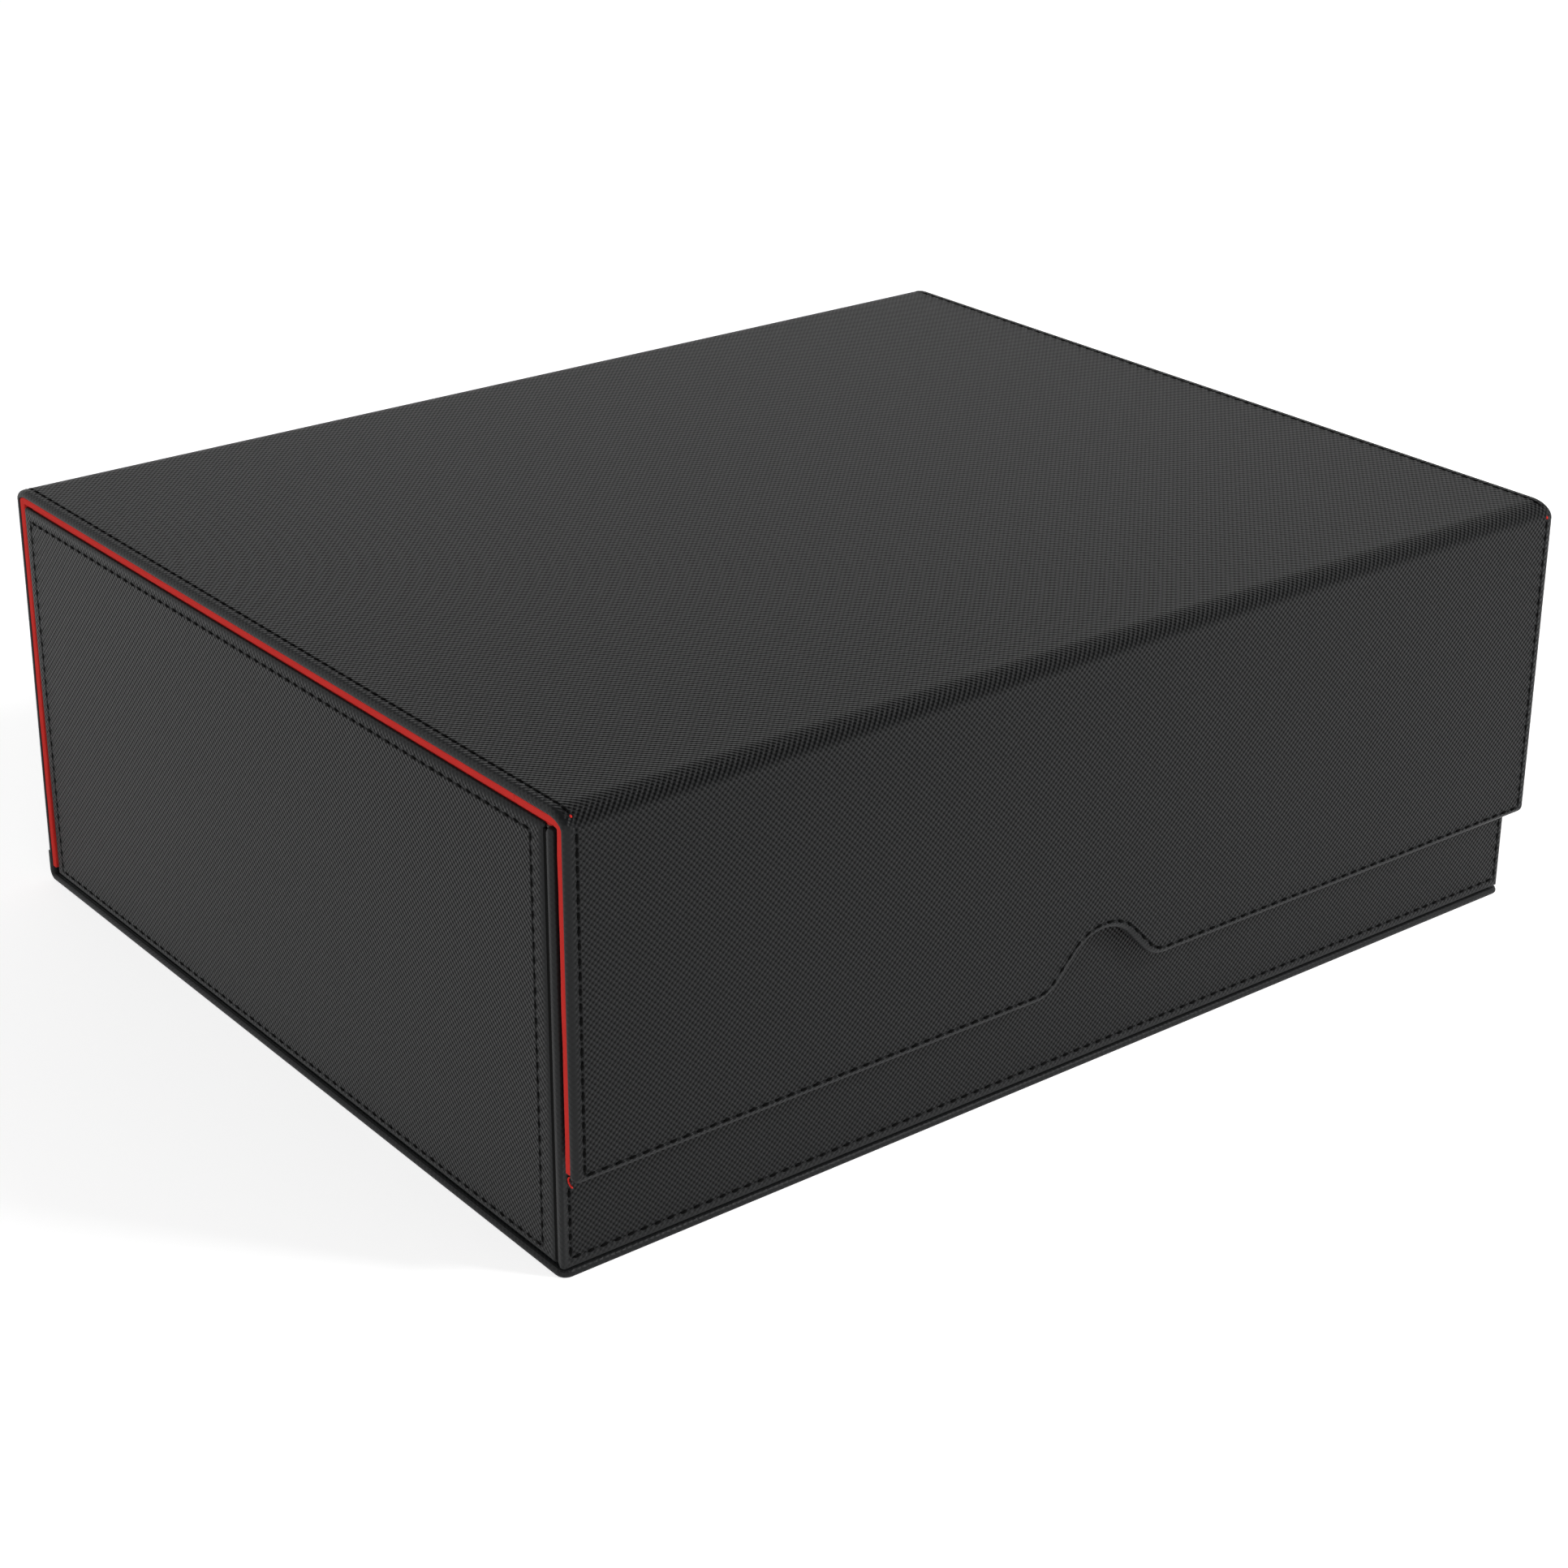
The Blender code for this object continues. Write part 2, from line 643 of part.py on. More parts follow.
def partitions(finishes, collection):
    """The upright partitions between the lanes, seated on the floor and between the end linings."""
    lane = (2 * ROOM_SIDE - (LANES - 1) * PARTITION) / LANES
    low = FLOOR_TOP + PARTITION_GAP
    near = ROOM_FRONT + PARTITION_GAP
    far = ROOM_BACK - PARTITION_GAP
    radii = (0, 0, PARTITION_CORNER_RADIUS, PARTITION_CORNER_RADIUS)
    outline = rectangle(near, far, low, PARTITION_TOP, radii)
    for number in range(1, LANES):
        left = -ROOM_SIDE + number * lane + (number - 1) * PARTITION
        depth = (-left - PARTITION, -left)
        plate(
            f"partition_{number}",
            [outline],
            SECTION_FRAME,
            depth,
            finishes["microfibre"],
            collection,
            PARTITION_EDGE_RADIUS,
        )


def joint_axis(name, location, parent, collection):
    """An empty on a joint's axis, for the pieces that turn about it."""
    empty = bpy.data.objects.new(name, None)
    collection.objects.link(empty)
    empty.location = location
    if parent:
        hold(empty, parent)
    return empty


def hold(obj, parent):
    """Parents an object where it lies."""
    bpy.context.view_layer.update()
    obj.parent = parent
    obj.matrix_parent_inverse = parent.matrix_world.inverted()


def main():
    """Builds the box, closed."""
    clear_scene()
    collection = new_collection(COLLECTION)
    cutters = new_collection(CUTTERS)
    finishes = {
        "leather": material("black_leather", (0.030, 0.031, 0.033), 0.55),
        "board": material("greyboard", (0.38, 0.36, 0.33), 0.90),
        "microfibre": material("red_microfibre", (0.60, 0.022, 0.018), 0.85),
        "magnet": material("plated_magnet", (0.55, 0.56, 0.58), 0.30, 1.0),
    }
    bottom_panel(finishes, collection)
    back_panel(finishes, collection)
    tray_walls(finishes, collection)
    tray_linings(finishes, collection, cutters)
    partitions(finishes, collection)
    lid_axis = joint_axis("lid_axis", (0, BACK, HEIGHT), None, collection)
    flap_axis = joint_axis("flap_axis", (0, FRONT, HEIGHT), lid_axis, collection)
    for piece in lid_panel(finishes, collection) + lid_hinge(finishes, collection):
        hold(piece, lid_axis)
    for piece in flap_panel(finishes, collection) + flap_hinge(finishes, collection):
        hold(piece, flap_axis)


main()
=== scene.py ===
"""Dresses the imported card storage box: embossed leather, red lining, stitching, floor, light and camera.

The cover is cut flat and then folded, as the real one is. Each blank is shaped in three numbers: across
(along the box's width), along (down the wrap, from the flap's lower edge over the lid to the bottom)
and depth (into the material). The wrap line then folds the blank round the box.
"""

import json
import logging
import math
from bisect import bisect_left
from collections.abc import Callable, Iterable, Sequence
from dataclasses import dataclass, field
from enum import Enum
from functools import cached_property
from itertools import accumulate
from typing import NamedTuple

import bmesh
import bpy
from mathutils import Matrix, Vector, noise
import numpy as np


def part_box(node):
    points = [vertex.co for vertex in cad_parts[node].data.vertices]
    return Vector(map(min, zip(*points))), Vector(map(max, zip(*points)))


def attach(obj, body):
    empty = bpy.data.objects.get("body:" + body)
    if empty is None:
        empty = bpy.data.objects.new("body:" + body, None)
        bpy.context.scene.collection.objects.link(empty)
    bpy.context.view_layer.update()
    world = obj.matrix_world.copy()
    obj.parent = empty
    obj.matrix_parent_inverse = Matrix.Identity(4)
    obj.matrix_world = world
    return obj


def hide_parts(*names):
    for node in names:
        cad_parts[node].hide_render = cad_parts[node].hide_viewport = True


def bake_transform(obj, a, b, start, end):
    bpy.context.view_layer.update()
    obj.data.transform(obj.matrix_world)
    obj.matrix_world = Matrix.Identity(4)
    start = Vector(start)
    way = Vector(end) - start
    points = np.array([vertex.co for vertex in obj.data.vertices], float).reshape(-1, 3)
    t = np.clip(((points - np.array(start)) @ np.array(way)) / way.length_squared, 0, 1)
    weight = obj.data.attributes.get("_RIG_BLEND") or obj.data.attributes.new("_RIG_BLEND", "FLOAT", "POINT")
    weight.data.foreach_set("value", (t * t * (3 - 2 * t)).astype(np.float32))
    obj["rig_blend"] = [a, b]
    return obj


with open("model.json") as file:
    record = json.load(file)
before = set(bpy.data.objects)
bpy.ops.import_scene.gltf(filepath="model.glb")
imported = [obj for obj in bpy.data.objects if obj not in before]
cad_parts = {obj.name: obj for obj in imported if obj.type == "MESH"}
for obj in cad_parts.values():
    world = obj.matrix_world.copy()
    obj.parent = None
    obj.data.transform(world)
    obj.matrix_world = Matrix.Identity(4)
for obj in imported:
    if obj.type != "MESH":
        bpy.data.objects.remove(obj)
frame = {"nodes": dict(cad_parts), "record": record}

MM = 0.001
QUARTER_TURN = math.pi / 2
WELD = 1e-7
SHARP_DEG = 40.0
# Insets from an edge: up to the first, the weave is pressed flat and painted paler and glossier, a painted
# highlight on the rounded edge that fades out by the second.
FLAT_HIGHLIGHT_FULL = 0.9 * MM
FLAT_HIGHLIGHT_END = 2.5 * MM
SAME_SPOT = 0.01 * MM
STITCH_CORNER_DEG = 60.0
ROUNDING_STEPS = 5
PADDING_STEPS = 4
CLOTH_SEED = 7
GROOVE_PROFILE = ((-1.0, 0.0), (-0.45, 0.7), (0.0, 1.0), (0.45, 0.7), (1.0, 0.0), (1.9, 0.0))
WHITE = (1.0, 1.0, 1.0, 1.0)
DIAGONAL_BANDS_RATE = 10 * math.sqrt(3)
LOG = logging.getLogger("card_storage_box")

Point = tuple[float, float]
Placer = Callable[[float, float, float], Vector]


class Body(Enum):
    """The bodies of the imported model."""

    BASE = "base"
    LID = "lid"
    FLAP = "flap"


class Slot(Enum):
    """The record's material slots."""

    LEATHER = "black_leather"
    LINING = "red_microfibre"
    BOARD = "greyboard"
    MAGNET = "plated_magnet"


class Insets(NamedTuple):
    """How far a line lies inside an outline, at each of its four sides."""

    left: float
    right: float
    low: float
    high: float


Outline = Callable[[Insets], list[Point]]


@dataclass(frozen=True)
class Ring:
    """One line round a blank: its insets from the outline, its depth and whether it lies in a seam groove."""

    insets: Insets
    depth: float
    in_seam: bool = False

    def moved_in(self, by: Insets) -> "Ring":
        """The ring with each of its sides moved further in."""
        return Ring(Insets(*(value + more for value, more in zip(self.insets, by))), self.depth, self.in_seam)


def even(inset: float, depth: float) -> Ring:
    """A ring that lies equally far inside all four sides."""
    return Ring(Insets(inset, inset, inset, inset), depth)


def linear(hex_colour: str) -> tuple[float, float, float, float]:
    """Turns an sRGB hex colour into linear values.

    Args:
        hex_colour: Six hex digits, with or without a leading hash.

    Returns:
        Red, green, blue and an alpha of 1.
    """
    digits = hex_colour.lstrip("#")
    channels = [int(digits[i : i + 2], 16) / 255 for i in (0, 2, 4)]
    values = [c / 12.92 if c <= 0.04045 else ((c + 0.055) / 1.055) ** 2.4 for c in channels]
    return (*values, 1.0)


def smooth_step(value: float, low: float, high: float) -> float:
    """Rises smoothly from 0 at low to 1 at high."""
    share = min(max((value - low) / (high - low), 0.0), 1.0)
    return share * share * (3 - 2 * share)


def quarter_angles(steps: int) -> list[float]:
    """Evenly spaced angles from 0 to a quarter turn, both ends included."""
    return [QUARTER_TURN * step / steps for step in range(steps + 1)]


def range_steps(start: float, end: float, step: float) -> list[float]:
    """Evenly spaced values from start to just under end."""
    count = int((end - start) / step)
    return [start + step * number for number in range(count + 1)]


def arc(centre: Point, radius: float, start_deg: float, end_deg: float, steps: int) -> list[Point]:
    """Points along an arc.

    Args:
        centre: The arc's centre.
        radius: Its radius, which may be 0.
        start_deg: Angle of the first point.
        end_deg: Angle of the last point.
        steps: Number of chords.

    Returns:
        steps + 1 points, both ends included.
    """
    points = []
    for step in range(steps + 1):
        angle = math.radians(start_deg + (end_deg - start_deg) * step / steps)
        points.append((centre[0] + radius * math.cos(angle), centre[1] + radius * math.sin(angle)))
    return points


# Folding


@dataclass(frozen=True)
class Straight:
    """A straight stretch of the wrap line between two folds."""

    start: float
    end: float
    corner: Vector
    direction: Vector
    normal: Vector
    lead: float
    span: float
    folded_before: bool
    folded_after: bool

    def place(self, x: float, along: float, depth: float, crimp: float) -> Vector:
        """Where a point of the blank comes to lie.

        Args:
            x: Its place across the blank.
            along: Its place along the wrap line.
            depth: How deep it lies in the material.
            crimp: How far a layer keeps from a tight inner corner.

        Returns:
            The point on the box.
        """
        t = self.lead + along - self.start
        if self.folded_before:
            t = max(t, depth + crimp)
        if self.folded_after:
            t = min(t, self.span - depth - crimp)
        spot = self.corner + self.direction * t - self.normal * depth
        return Vector((x, spot.x, spot.y))


@dataclass(frozen=True)
class Turn:
    """A fold: a quarter of an ellipse that takes the wrap line round a corner.

    radii are how far the corner is rounded off, on the line before it and on the line after it.
    """

    start: float
    corner: Vector
    normal_before: Vector
    normal_after: Vector
    radii: Point
    steps: int = 60

    @cached_property
    def lengths(self) -> list[float]:
        """The length of the curve from its start up to each of its steps."""
        before, after = self.radii
        angles = quarter_angles(self.steps)
        points = [(after * math.cos(angle), before * math.sin(angle)) for angle in angles]
        return list(accumulate((math.dist(a, b) for a, b in zip(points, points[1:])), initial=0.0))

    @property
    def end(self) -> float:
        """The place along the line at which the fold ends."""
        return self.start + self.lengths[-1]

    def angle(self, along: float) -> float:
        """The ellipse's angle at a place along the line."""
        reach = min(max(along - self.start, 0.0), self.lengths[-1])
        step = min(max(bisect_left(self.lengths, reach), 1), self.steps)
        low, high = self.lengths[step - 1], self.lengths[step]
        return QUARTER_TURN * (step - 1 + (reach - low) / (high - low)) / self.steps

    def place(self, x: float, along: float, depth: float, crimp: float) -> Vector:
        """Where a point of the blank comes to lie, with the same arguments as on a straight stretch.

        Deep layers crimp into a tight inner corner.
        """
        angle = self.angle(along)
        before, after = (max(radius, depth + crimp) for radius in self.radii)
        over = self.normal_before * (after - (after - depth) * math.cos(angle))
        under = self.normal_after * (before - (before - depth) * math.sin(angle))
        spot = self.corner - over - under
        return Vector((x, spot.x, spot.y))


@dataclass
class WrapLine:
    """The cover's outer line in Y and Z, from the flap's lower edge to the bottom panel's front edge.

    corners are the sharp corners, ends included, and radii how far each inner one is rounded off, on the
    line before it and on the line after it.
    """

    corners: tuple[Point, ...]
    radii: tuple[Point, ...]
    crimp: float = 0.15 * MM
    stretches: list[Straight | Turn] = field(init=False)

    def __post_init__(self) -> None:
        """Works out the straight stretches and the turns in their order."""
        self.stretches = []
        points = [Vector(corner) for corner in self.corners]
        radii = ((0.0, 0.0), *self.radii, (0.0, 0.0))
        along = 0.0
        for i in range(len(points) - 1):
            leg = points[i + 1] - points[i]
            direction = leg.normalized()
            normal = Vector((-direction.y, direction.x))
            lead = radii[i][1]
            end = along + leg.length - lead - radii[i + 1][0]
            last = i == len(points) - 2
            shape = (points[i], direction, normal, lead, leg.length)
            self.stretches.append(Straight(along, end, *shape, folded_before=i > 0, folded_after=not last))
            along = end
            if last:
                break
            after = (points[i + 2] - points[i + 1]).normalized()
            turn = Turn(along, points[i + 1], normal, Vector((-after.y, after.x)), radii[i + 1])
            self.stretches.append(turn)
            along = turn.end

    def stretch(self, along: float) -> Straight | Turn:
        """The stretch that holds a place on the line."""
        for piece in self.stretches:
            if along <= piece.end:
                return piece
        return self.stretches[-1]

    def place(self, x: float, along: float, depth: float) -> Vector:
        """Folds one point of a blank round the box."""
        return self.stretch(along).place(x, along, depth, self.crimp)

    def leg(self, number: int) -> Straight:
        """The straight stretch of that number, from 0 at the flap."""
        return self.stretches[2 * number]

    def on(self, number: int, distance: float) -> float:
        """The place along the line that lies a distance past the start corner of a leg."""
        piece = self.leg(number)
        return piece.start + distance - piece.lead

    def fold(self, number: int) -> Turn:
        """The fold of that number, from 0 at the front."""
        return self.stretches[2 * number + 1]

    def fold_cuts(self, number: int, steps: int, margins: Sequence[float] = ()) -> list[float]:
        """Places at which a blank is cut across so that it can bend at a fold.

        Args:
            number: The fold.
            steps: Facets of the quarter turn.
            margins: Distances outside the fold at which it is cut too.

        Returns:
            The places along the line.
        """
        turn = self.fold(number)
        cuts = [turn.start + (turn.end - turn.start) * step / steps for step in range(steps + 1)]
        for margin in margins:
            cuts += [turn.start - margin, turn.end + margin]
        return cuts


# Blanks


def turned_edge(nose: float, shell: float, deep: float, hem: float, turn_in: float) -> list[Ring]:
    """Rings of leather that is turned over a board's edge, from the inner face round to the outer one.

    Args:
        nose: Radius of the rounded edge.
        shell: Thickness of the leather.
        deep: How deep the turned edge reaches.
        hem: Thickness of the pared leather on the board's other face.
        turn_in: How far the leather runs back over that face.

    Returns:
        The rings, of which the last lies on the outer face.
    """
    angles = quarter_angles(ROUNDING_STEPS)
    inner = nose - shell
    heel = deep - nose
    rings = [even(nose + shell, shell)]
    rings += [even(nose - inner * math.cos(a), nose - inner * math.sin(a)) for a in reversed(angles)]
    rings += [even(shell, deep - hem), even(turn_in, deep - hem), even(turn_in, deep)]
    rings += [even(heel * (1 - math.sin(a)), deep - heel * (1 - math.cos(a))) for a in angles]
    rings += [even(nose * (1 - math.cos(a)), nose * (1 - math.sin(a))) for a in angles]
    return rings


def padded_edge(radius: float, far_radius: float, near: float, far: float, spread: float = 1.0) -> list[Ring]:
    """Rings of a covered board's edge, from the far face to the near one.

    Args:
        radius: How deep the near face's edge is rounded.
        far_radius: How far the far face's edge is rounded.
        near: Depth of the near face.
        far: Depth of the far face.
        spread: How much wider than deep the near rounding is.

    Returns:
        The rings, of which the last lies on the near face.
    """
    angles = quarter_angles(PADDING_STEPS)
    wide = radius * spread
    rings = [even(far_radius * (1 - math.sin(a)), far - far_radius * (1 - math.cos(a))) for a in angles]
    rings += [even(wide * (1 - math.cos(a)), near + radius * (1 - math.sin(a))) for a in angles]
    return rings


def seam_groove(insets: Insets, deep: float, half_width: float) -> list[Ring]:
    """Rings of the groove that a row of stitches pulls into the leather.

    Args:
        insets: How far the row lies inside the edge.
        deep: Depth of the groove under the stitches.
        half_width: Half of its width.

    Returns:
        The rings, from the edge's side inward.
    """
    rings = []
    for offset, share in GROOVE_PROFILE:
        shifted = Insets(*(value + offset * half_width for value in insets))
        rings.append(Ring(shifted, deep * share, share > 0))
    return rings


class Blank:
    """A flat blank that is shaped with mesh operators and then placed or folded."""

    def __init__(self, outline: Outline, rings: Sequence[Ring]) -> None:
        """Builds the closed blank ring by ring.

        Args:
            outline: Gives the outline's points for some insets, always as many of them.
            rings: The rings from the inner face to the outer one.
        """
        self.mesh = bmesh.new()
        verts = self.mesh.verts
        slot = verts.layers.int.new("slot")
        in_seam = verts.layers.int.new("in_seam")
        across = verts.layers.float.new("across")
        along = verts.layers.float.new("along")
        edge_flat_highlight = verts.layers.float.new("edge_flat_highlight")
        unrolled = self._unrolled(rings)
        edges: list[bmesh.types.BMEdge] = []
        for ring, flat in zip(rings, unrolled):
            points = outline(ring.insets)
            flat_points = outline(flat)
            if edges:
                grown = bmesh.ops.extrude_edge_only(self.mesh, edges=edges)["geom"]
                line = [item for item in grown if isinstance(item, bmesh.types.BMVert)]
                members = set(line)
                grown_edges = [item for item in grown if isinstance(item, bmesh.types.BMEdge)]
                edges = [edge for edge in grown_edges if set(edge.verts) <= members]
            else:
                line = [verts.new((0.0, 0.0, 0.0)) for _ in points]
                for number, vert in enumerate(line):
                    vert[slot] = number
                edges = [self.mesh.edges.new((line[i - 1], line[i])) for i in range(len(line))]
            for vert in line:
                number = vert[slot]
                vert.co = (*points[number], -ring.depth)
                vert[in_seam] = int(ring.in_seam)
                # Near an edge the weave is pressed flatter and the leather is painted paler and glossier: a
                # painted highlight on the rounded edge.
                vert[edge_flat_highlight] = 1 - smooth_step(min(ring.insets), FLAT_HIGHLIGHT_FULL, FLAT_HIGHLIGHT_END)
                vert[across], vert[along] = flat_points[number]
        bmesh.ops.remove_doubles(self.mesh, verts=verts[:], dist=WELD * 10)
        self._close()

    @staticmethod
    def _unrolled(rings: Sequence[Ring]) -> list[Insets]:
        """The insets that each ring has once the leather is rolled out flat."""
        flat = [rings[-1].insets]
        for near, far in zip(reversed(rings[1:]), reversed(rings[:-1])):
            drop = far.depth - near.depth
            steps = (math.hypot(a - b, drop) for a, b in zip(near.insets, far.insets))
            flat.append(Insets(*(value - step for value, step in zip(flat[-1], steps))))
        return list(reversed(flat))

    def _close(self) -> None:
        """Fills every open loop with one face."""
        open_edges = [edge for edge in self.mesh.edges if edge.is_boundary]
        bmesh.ops.holes_fill(self.mesh, edges=open_edges, sides=0)

    def _bisect(self, along: float, **clear: bool) -> None:
        """Cuts the whole blank across at a place along it."""
        geom = self.mesh.verts[:] + self.mesh.edges[:] + self.mesh.faces[:]
        spot, way = (0, along, 0), (0, 1, 0)
        bmesh.ops.bisect_plane(self.mesh, geom=geom, dist=WELD, plane_co=spot, plane_no=way, **clear)

    def cut(self, places: Iterable[float]) -> "Blank":
        """Adds an edge loop across the blank at each place."""
        for along in places:
            self._bisect(along)
        return self

    def trim(self, low: float | None = None, high: float | None = None) -> "Blank":
        """Cuts off what lies outside two places along the blank and closes the cut ends.

        Args:
            low: The place before which all is cut off, if it is given.
            high: The place past which all is cut off, if it is given.

        Returns:
            The blank itself.
        """
        if low is not None:
            self._bisect(low, clear_inner=True)
            self._close()
        if high is not None:
            self._bisect(high, clear_outer=True)
            self._close()
        return self

    def press(self, move: Callable[[Vector, bool], float]) -> "Blank":
        """Moves points in depth.

        Args:
            move: Gives the added depth for a point, and is told whether it lies in a seam groove.

        Returns:
            The blank itself.
        """
        in_seam = self.mesh.verts.layers.int["in_seam"]
        for vert in self.mesh.verts:
            vert.co.z -= move(vert.co, bool(vert[in_seam]))
        return self

    def jitter(self, size: float, grain: float, seed: float) -> "Blank":
        """Moves the points by smooth noise, as cloth-wrapped edges are never quite straight.

        Args:
            size: How far a point is moved.
            grain: How long the waves are.
            seed: Where in the noise it starts, so that no two pieces have the same waves.

        Returns:
            The blank itself.
        """
        for vert in self.mesh.verts:
            spot = Vector((vert.co.x / grain + seed, vert.co.y / grain, vert.co.z / grain))
            shift = noise.noise_vector(spot) * size
            vert.co += Vector((shift.x, 0.0, shift.z * 0.5))
        return self

    def place(self, placer: Placer) -> "Blank":
        """Takes every point from the blank to its place on the box."""
        for vert in self.mesh.verts:
            vert.co = placer(vert.co.x, vert.co.y, -vert.co.z)
        return self

    def piece(self, name: str, finish: bpy.types.Material) -> bpy.types.Object:
        """Makes the finished object, with its flat lengths in metres as the UV map.

        Args:
            name: The piece's name.
            finish: Its material.

        Returns:
            The object.
        """
        across = self.mesh.verts.layers.float["across"]
        along = self.mesh.verts.layers.float["along"]
        chart = self.mesh.loops.layers.uv.new("flat")
        for face in self.mesh.faces:
            for loop in face.loops:
                loop[chart].uv = (loop.vert[across], loop.vert[along])
        return new_piece(name, self.mesh, finish)


def new_piece(
    name: str, mesh: bmesh.types.BMesh, finish: bpy.types.Material, closed: bool = True
) -> bpy.types.Object:
    """Turns a bmesh into a smooth-shaded object with one finish.

    Args:
        name: The piece's name.
        mesh: The shape, which is freed.
        finish: Its material.
        closed: Whether the shape is closed, so that its faces can be turned outward here.

    Returns:
        The object, linked to the scene.
    """
    if closed:
        bmesh.ops.recalc_face_normals(mesh, faces=mesh.faces[:])
    data = bpy.data.meshes.new(name)
    mesh.to_mesh(data)
    mesh.free()
    data.shade_smooth()
    data.set_sharp_from_angle(angle=math.radians(SHARP_DEG))
    data.materials.append(finish)
    piece = bpy.data.objects.new(name, data)
    bpy.context.scene.collection.objects.link(piece)
    return piece


def report(piece: bpy.types.Object, slot: Slot, *replaced: str) -> None:
    """Hides the CAD nodes that a piece stands for, and logs the piece with them.

    Args:
        piece: The piece.
        slot: Its material slot in the record; not used.
        replaced: The CAD nodes that it stands for. Without any, it is only for looks.
    """
    if replaced:
        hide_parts(*replaced)
    LOG.info("%s: %d faces, for %s", piece.name, len(piece.data.polygons), ", ".join(replaced) or "looks")


def rectangle(low: Point, high: Point, radii: Sequence[float] = (0, 0, 0, 0), steps: int = 6) -> Outline:
    """An outline function for a rectangle with rounded corners.

    Args:
        low: Its lower left corner.
        high: Its upper right corner.
        radii: Corner radii, anticlockwise from the lower left one.
        steps: Chords of a rounded corner.

    Returns:
        A function from insets to points, anticlockwise from the lower left corner.
    """

    def points(insets: Insets) -> list[Point]:
        """The rectangle's outline at some insets."""
        found: list[Point] = []
        for number, radius in enumerate(radii):
            right = number in (1, 2)
            upper = number in (2, 3)
            inset_u = insets.right if right else insets.left
            inset_v = insets.high if upper else insets.low
            inward_u = -1 if right else 1
            inward_v = -1 if upper else 1
            rest = max(radius - max(inset_u, inset_v), 0.0)
            u = (high[0] if right else low[0]) + inward_u * (inset_u + rest)
            v = (high[1] if upper else low[1]) + inward_v * (inset_v + rest)
            start = 180 + 90 * number
            found += arc((u, v), rest, start, start + 90, steps if radius else 1)
        return found

    return points


# Finishes


def fill_inputs(
    node: bpy.types.Node,
    values: dict[str | int, object] | None = None,
    links: dict[str | int, bpy.types.NodeSocket] | None = None,
) -> None:
    """Sets a node's inputs and links others.

    Args:
        node: The node.
        values: Values for input sockets that nothing is linked to.
        links: Output sockets for the inputs that they feed.
    """
    for key, value in (values or {}).items():
        node.inputs[key].default_value = value
    for key, socket in (links or {}).items():
        node.id_data.links.new(socket, node.inputs[key])


def add_node(
    tree: bpy.types.NodeTree,
    kind: str,
    settings: dict[str, object] | None = None,
    values: dict[str | int, object] | None = None,
    links: dict[str | int, bpy.types.NodeSocket] | None = None,
) -> bpy.types.Node:
    """Adds a node to a tree with its settings and links.

    Args:
        tree: The node tree.
        kind: The node's type.
        settings: The node's own properties.
        values: Values for input sockets that nothing is linked to.
        links: Output sockets for the inputs that they feed.

    Returns:
        The node.
    """
    node = tree.nodes.new(kind)
    for key, value in (settings or {}).items():
        setattr(node, key, value)
    fill_inputs(node, values, links)
    return node


def new_material(name: str) -> tuple[bpy.types.Material, bpy.types.NodeTree, bpy.types.Node]:
    """An empty Principled material with its tree and its shader."""
    material = bpy.data.materials.new(name)
    material.use_nodes = True
    return material, material.node_tree, material.node_tree.nodes["Principled BSDF"]


